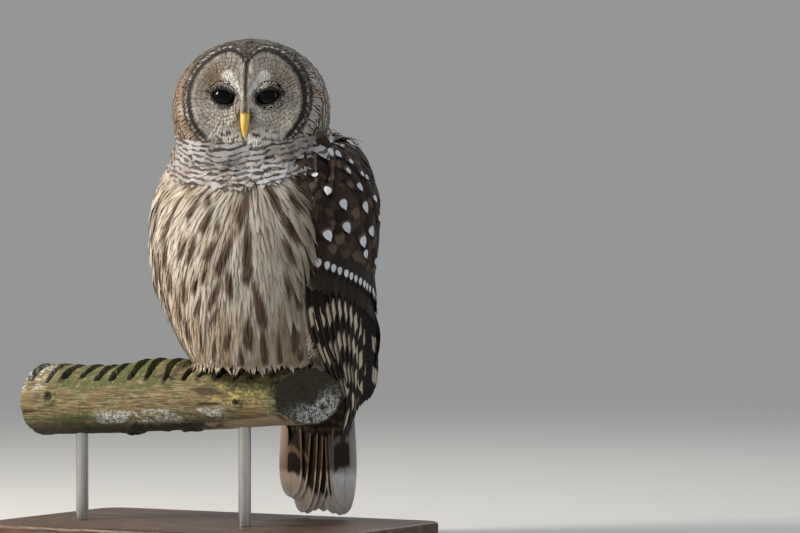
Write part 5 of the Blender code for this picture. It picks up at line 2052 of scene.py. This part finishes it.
# %% The sawn end
END_RINGS = 34
inwards = np.linspace(1.0, 0.0, END_RINGS + 1)[1:-1]
end_edge, heart = rings[-1], np.array([LOG_RIGHT, 0.0, LOG_AXIS + LOG_SLOPE * LOG_RIGHT])
out_of_end = np.array([math.cos(math.radians(37)), -math.sin(math.radians(37)), 0.0])
end_rings = []
for k, part in enumerate(inwards):
    ripple = 0.00010 * np.sin(part * 95.0 + 1.2 * np.sin(2 * turns)) + 0.0011 * np.array(
        [noise.noise(Vector((5 * part * math.cos(t), 5 * part * math.sin(t), 4.0)))
         for t in turns])
    gap = 0.0016 * np.exp(-(((turns - 4.4 + 0.2 * math.sin(9 * part)) / 0.05) ** 2))
    edge = 0.0010 * math.exp(-((1 - part) / 0.04) ** 2)
    off = (ripple - gap * (part > 0.2) - edge)[:, None] * out_of_end
    end_rings.append(heart + (end_edge - heart) * part + off)
end_rings = np.array(end_rings)

# %% One closed mesh
all_rings = np.concatenate([rings[1:], end_rings])
count = len(all_rings)
places = np.concatenate([
    all_rings.reshape(-1, 3), [rings[0].mean(axis=0)], [heart - out_of_end * 0.0008]
])
places += np.array([OWL.x, OWL.y, 0.0])
ring, spoke = np.meshgrid(np.arange(count - 1), np.arange(AROUND), indexing="ij")
after = (spoke + 1) % AROUND
quads = np.stack([ring * AROUND + spoke, (ring + 1) * AROUND + spoke,
                  (ring + 1) * AROUND + after, ring * AROUND + after], axis=-1).reshape(-1, 4)
k = np.arange(AROUND)
n = (k + 1) % AROUND
first = np.stack([np.full(AROUND, count * AROUND), k, n], axis=1)
base = (count - 1) * AROUND
last = np.stack([base + k, np.full(AROUND, count * AROUND + 1), base + n], axis=1)
mesh = bpy.data.meshes.new("log")
mesh.from_pydata(places.tolist(), [], quads.tolist() + first.tolist() + last.tolist())
log = new_object("log", mesh)
turn_outwards(log)
mesh.shade_smooth()
mesh.set_sharp_from_angle(angle=math.radians(55))
print("log:", len(mesh.polygons), "faces")

# %% Where moss and lichen grow, where the wood darkens, and where shade is painted
patch = wood_noise(x, a, 0.010, 1.4, 21.0)
small = wood_noise(x, a, 0.0035, 1.2, 22.0)


def area(at_x, wide, at_b, high):
    """A soft patch on the log's side."""
    return np.exp(-(((x - at_x) / wide) ** 2) - ((b - at_b) / high) ** 2)


ridges = smooth(0.18, 0.45, top)
moss = ridges * smooth(-0.215, -0.185, x) * smooth(-0.060, -0.095, x)
moss = 1.1 * moss * smooth(-0.60, 0.0, patch + 0.5 * small)
moss = np.maximum(moss, 2.2 * area(-0.168, 0.034, 3.88, 0.30) * smooth(-0.4, 0.1, patch))
moss = np.maximum(moss, 0.7 * area(-0.085, 0.045, 2.70, 0.20) * smooth(-0.3, 0.3, patch))
moss = np.maximum(moss, 0.7 * ridges * smooth(0.0, 0.4, patch) * smooth(-0.06, -0.03, x))
strip = smooth(3.42, 3.54, b) * smooth(3.98, 3.84, b) * smooth(-0.160, -0.140, x)
strip = strip * smooth(0.000, -0.025, x)
lichen = strip * smooth(-0.25, 0.10, patch + 0.6 * small)
lichen = np.maximum(lichen, ridges * smooth(-0.200, -0.222, x) * smooth(-0.1, 0.2, small))
golden = smooth(1.50, 2.20, b) * smooth(3.55, 3.20, b) * smooth(-0.050, -0.010, x)
golden = golden * smooth(0.050, 0.030, x) * smooth(-0.15, 0.15, small + 0.5 * patch)
bare = smooth(3.95, 4.10, b + 3.0 * (x + 0.02)) * smooth(4.95, 4.75, b) * smooth(-0.06, -0.03, x)
under = smooth(4.00, 4.10, b) * smooth(4.45, 4.25, b) * smooth(-0.150, -0.130, x)
under = under * smooth(-0.010, -0.030, x) * smooth(-0.2, 0.2, patch)
# Painted shade: darker in the notches (in_cut) and over the lower front and underside of the log.
# The rest darkens the cracks, the knots, the lumps below, a band under the lichen and patches on
# the ridges at the right.
dark = np.clip(in_cut * 0.9 + 0.8 * crack + 0.9 * smooth(0.35, 0.8, knot) + 0.8 * under
               + 0.8 * lumps * smooth(-0.16, -0.12, x) * smooth(-0.04, -0.08, x)
               + 0.95 * smooth(3.5, 4.3, b) * smooth(5.8, 5.0, b) * (1 - 0.8 * bare)
               + 0.7 * ridges * smooth(0.15, 0.40, small) * smooth(-0.06, -0.03, x), 0, 1)
end_dark = smooth(0.040, 0.056, x) * smooth(-0.4, 0.1, patch + small)
dark = np.maximum(dark, 0.85 * end_dark)


def with_end(values, end):
    return np.concatenate([values[1:].ravel(), end.ravel(), [values[1].mean(), end[-1].mean()]])


part = np.repeat(inwards[:, None], AROUND, axis=1)
spin = np.repeat(turns[None, :], len(inwards), axis=0)
end_x, end_y = part * -np.cos(spin), part * np.sin(spin)
crescent = smooth(0.22, 0.45, part) * smooth(0.99, 0.92, part)
crescent = crescent * np.exp(-(((spin - 4.15) / 1.20) ** 4))
end_noise = np.array([noise.noise(Vector((6 * p, 6 * q, 9.0)))
                      for p, q in zip(end_x.ravel(), end_y.ravel())]).reshape(part.shape)
none = np.zeros_like(part)
layers = {
    "moss": with_end(moss, 0.65 * smooth(-0.1, 0.4, end_noise) * smooth(0.3, 0.9, part)),
    "lichen": with_end(lichen, crescent * smooth(-0.5, 0.0, end_noise)),
    "golden": with_end(golden, none),
    "bare": with_end(bare, none),
    "dark": with_end(dark, 0.35 + 0.4 * smooth(-0.2, 0.5, end_noise)),
    "end": with_end(np.zeros_like(x), np.ones_like(part)),
    "part": with_end(np.ones_like(x), part),
}
for key, values in layers.items():
    carry(mesh, key, values)

# %% Weathered wood
wood, tree = new_finish("weathered_wood")
place = object_place(tree)
long_grain = grain(place, (55, 620, 620), 6.0, 0.65)
cloud = grain(place, 46.0, 4.0, 0.6)
speck = grain(place, 620.0, 3.0, 0.6)
clump = grain(place, 260.0, 4.0, 0.65)
growth = (measured(tree, "part").math("MULTIPLY_ADD", 95.0, cloud * 9.0)).math("SINE")
end_wood = layered(
    tint(band(growth, -0.6, 0.8), (0.036, 0.032, 0.018), (0.062, 0.054, 0.030)),
    (band(clump, 0.45, 0.60, 0.0, 0.55), (0.012, 0.014, 0.006)))
colour = layered(
    tint(band(long_grain, 0.36, 0.62), (0.040, 0.030, 0.013), (0.37, 0.310, 0.165)),
    (band(clump, 0.50, 0.62, 0.0, 0.50), (0.070, 0.058, 0.026)),
    (band(cloud, 0.42, 0.62, 0.0, 0.60), (0.20, 0.130, 0.050)),
    (band(cloud, 0.50, 0.36, 0.0, 0.55), (0.115, 0.125, 0.040)),
    (measured(tree, "bare") * 0.75,
     tint(long_grain, (0.36, 0.26, 0.16), (0.58, 0.46, 0.32))),
    (measured(tree, "golden") * band(clump, 0.42, 0.58),
     tint(speck, (0.30, 0.24, 0.055), (0.62, 0.55, 0.20))),
    (measured(tree, "end"), end_wood),
    (measured(tree, "moss") * band(clump, 0.30, 0.52),
     tint(speck, (0.022, 0.030, 0.008), (0.13, 0.155, 0.038))),
    # The dark layer is painted shade in the notches and under the log, with the darker cracks,
    # knots and patches.
    (measured(tree, "dark") * band(clump, 0.22, 0.50, 0.55, 1.0), (0.022, 0.017, 0.011)),
    (measured(tree, "lichen") * band(speck, 0.40, 0.58),
     tint(clump, (0.34, 0.37, 0.36), (0.86, 0.91, 0.92))))
finished(wood, colour, band(long_grain, 0.2, 0.8, 0.72, 0.95),
         speck.math("MULTIPLY_ADD", 0.5, long_grain), 0.0008)
mesh.materials.append(wood)

# %% [markdown]
# ## The stand
# The base is a slab of oiled walnut, and the rods are satin steel. Both keep the solids' shape.

# %% Walnut
walnut, tree = new_finish("oiled_walnut")
place = object_place(tree)
wavy = grain(place, (3.0, 26, 26), 4.0, 0.6, 0.8)
pores = grain(place, (90, 1300, 1300), 3.0, 0.6)
finished(
    walnut,
    layered(tint(band((wavy * 60.0).math("SINE"), -0.9, 0.9), (0.060, 0.031, 0.017),
                 (0.135, 0.074, 0.040)),
            (band(pores, 0.52, 0.66, 0.0, 0.6), (0.030, 0.016, 0.009))),
    band(pores, 0.3, 0.7, 0.38, 0.62), pores, 0.00015,
)

# %% Satin steel
steel, tree = new_finish("satin_steel")
place = object_place(tree)
brushed = grain(place, (1400, 1400, 60), 3.0, 0.6)
finished(steel, tint(brushed, (0.40, 0.395, 0.385), (0.62, 0.61, 0.60)),
         band(grain(place, 60.0), 0.3, 0.7, 0.26, 0.40), brushed, 0.00005, Metallic=1.0)
for node, finish in (("stand_base", walnut), ("stand_rod_left", steel),
                     ("stand_rod_right", steel)):
    frame["nodes"][node].data.materials.clear()
    frame["nodes"][node].data.materials.append(finish)


# %% [markdown]
# ## What each piece stands for
# Every piece rides on the model's only body, and its row gives the name of a finish and the
# solids that it replaces, which are hidden.

# %% Riding and replacing
pieces = (
    (skin, "feather_breast", FLESH),
    *((piece, "feather_breast") for piece in breast_coats),
    *((piece, "feather_face") for piece in
      (face, bill_bristles, disc_line, disc_speckle, head_coat)),
    (scarf, "feather_ruff"),
    (nape, "feather_ruff"),
    *((piece, "feather_dark") for piece in
      (coverts, *wing_flights, *row_coverts, tail, rump, under_tail)),
    (leg_down, "feather_breast"),
    (belly_down, "feather_breast"),
    (eyeballs[0], "eye", ("eye_left",)),
    (eyeballs[1], "eye", ("eye_right",)),
    (bill, "bill", ("bill_upper", "bill_lower")),
    (claws, "claw", CLAWS),
    (log, "perch_wood", ("perch",)),
)
for piece, finish, *replaced in pieces:
    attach(piece, "root")
    for nodes in replaced:
        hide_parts(*nodes)
print(len(pieces), "pieces")
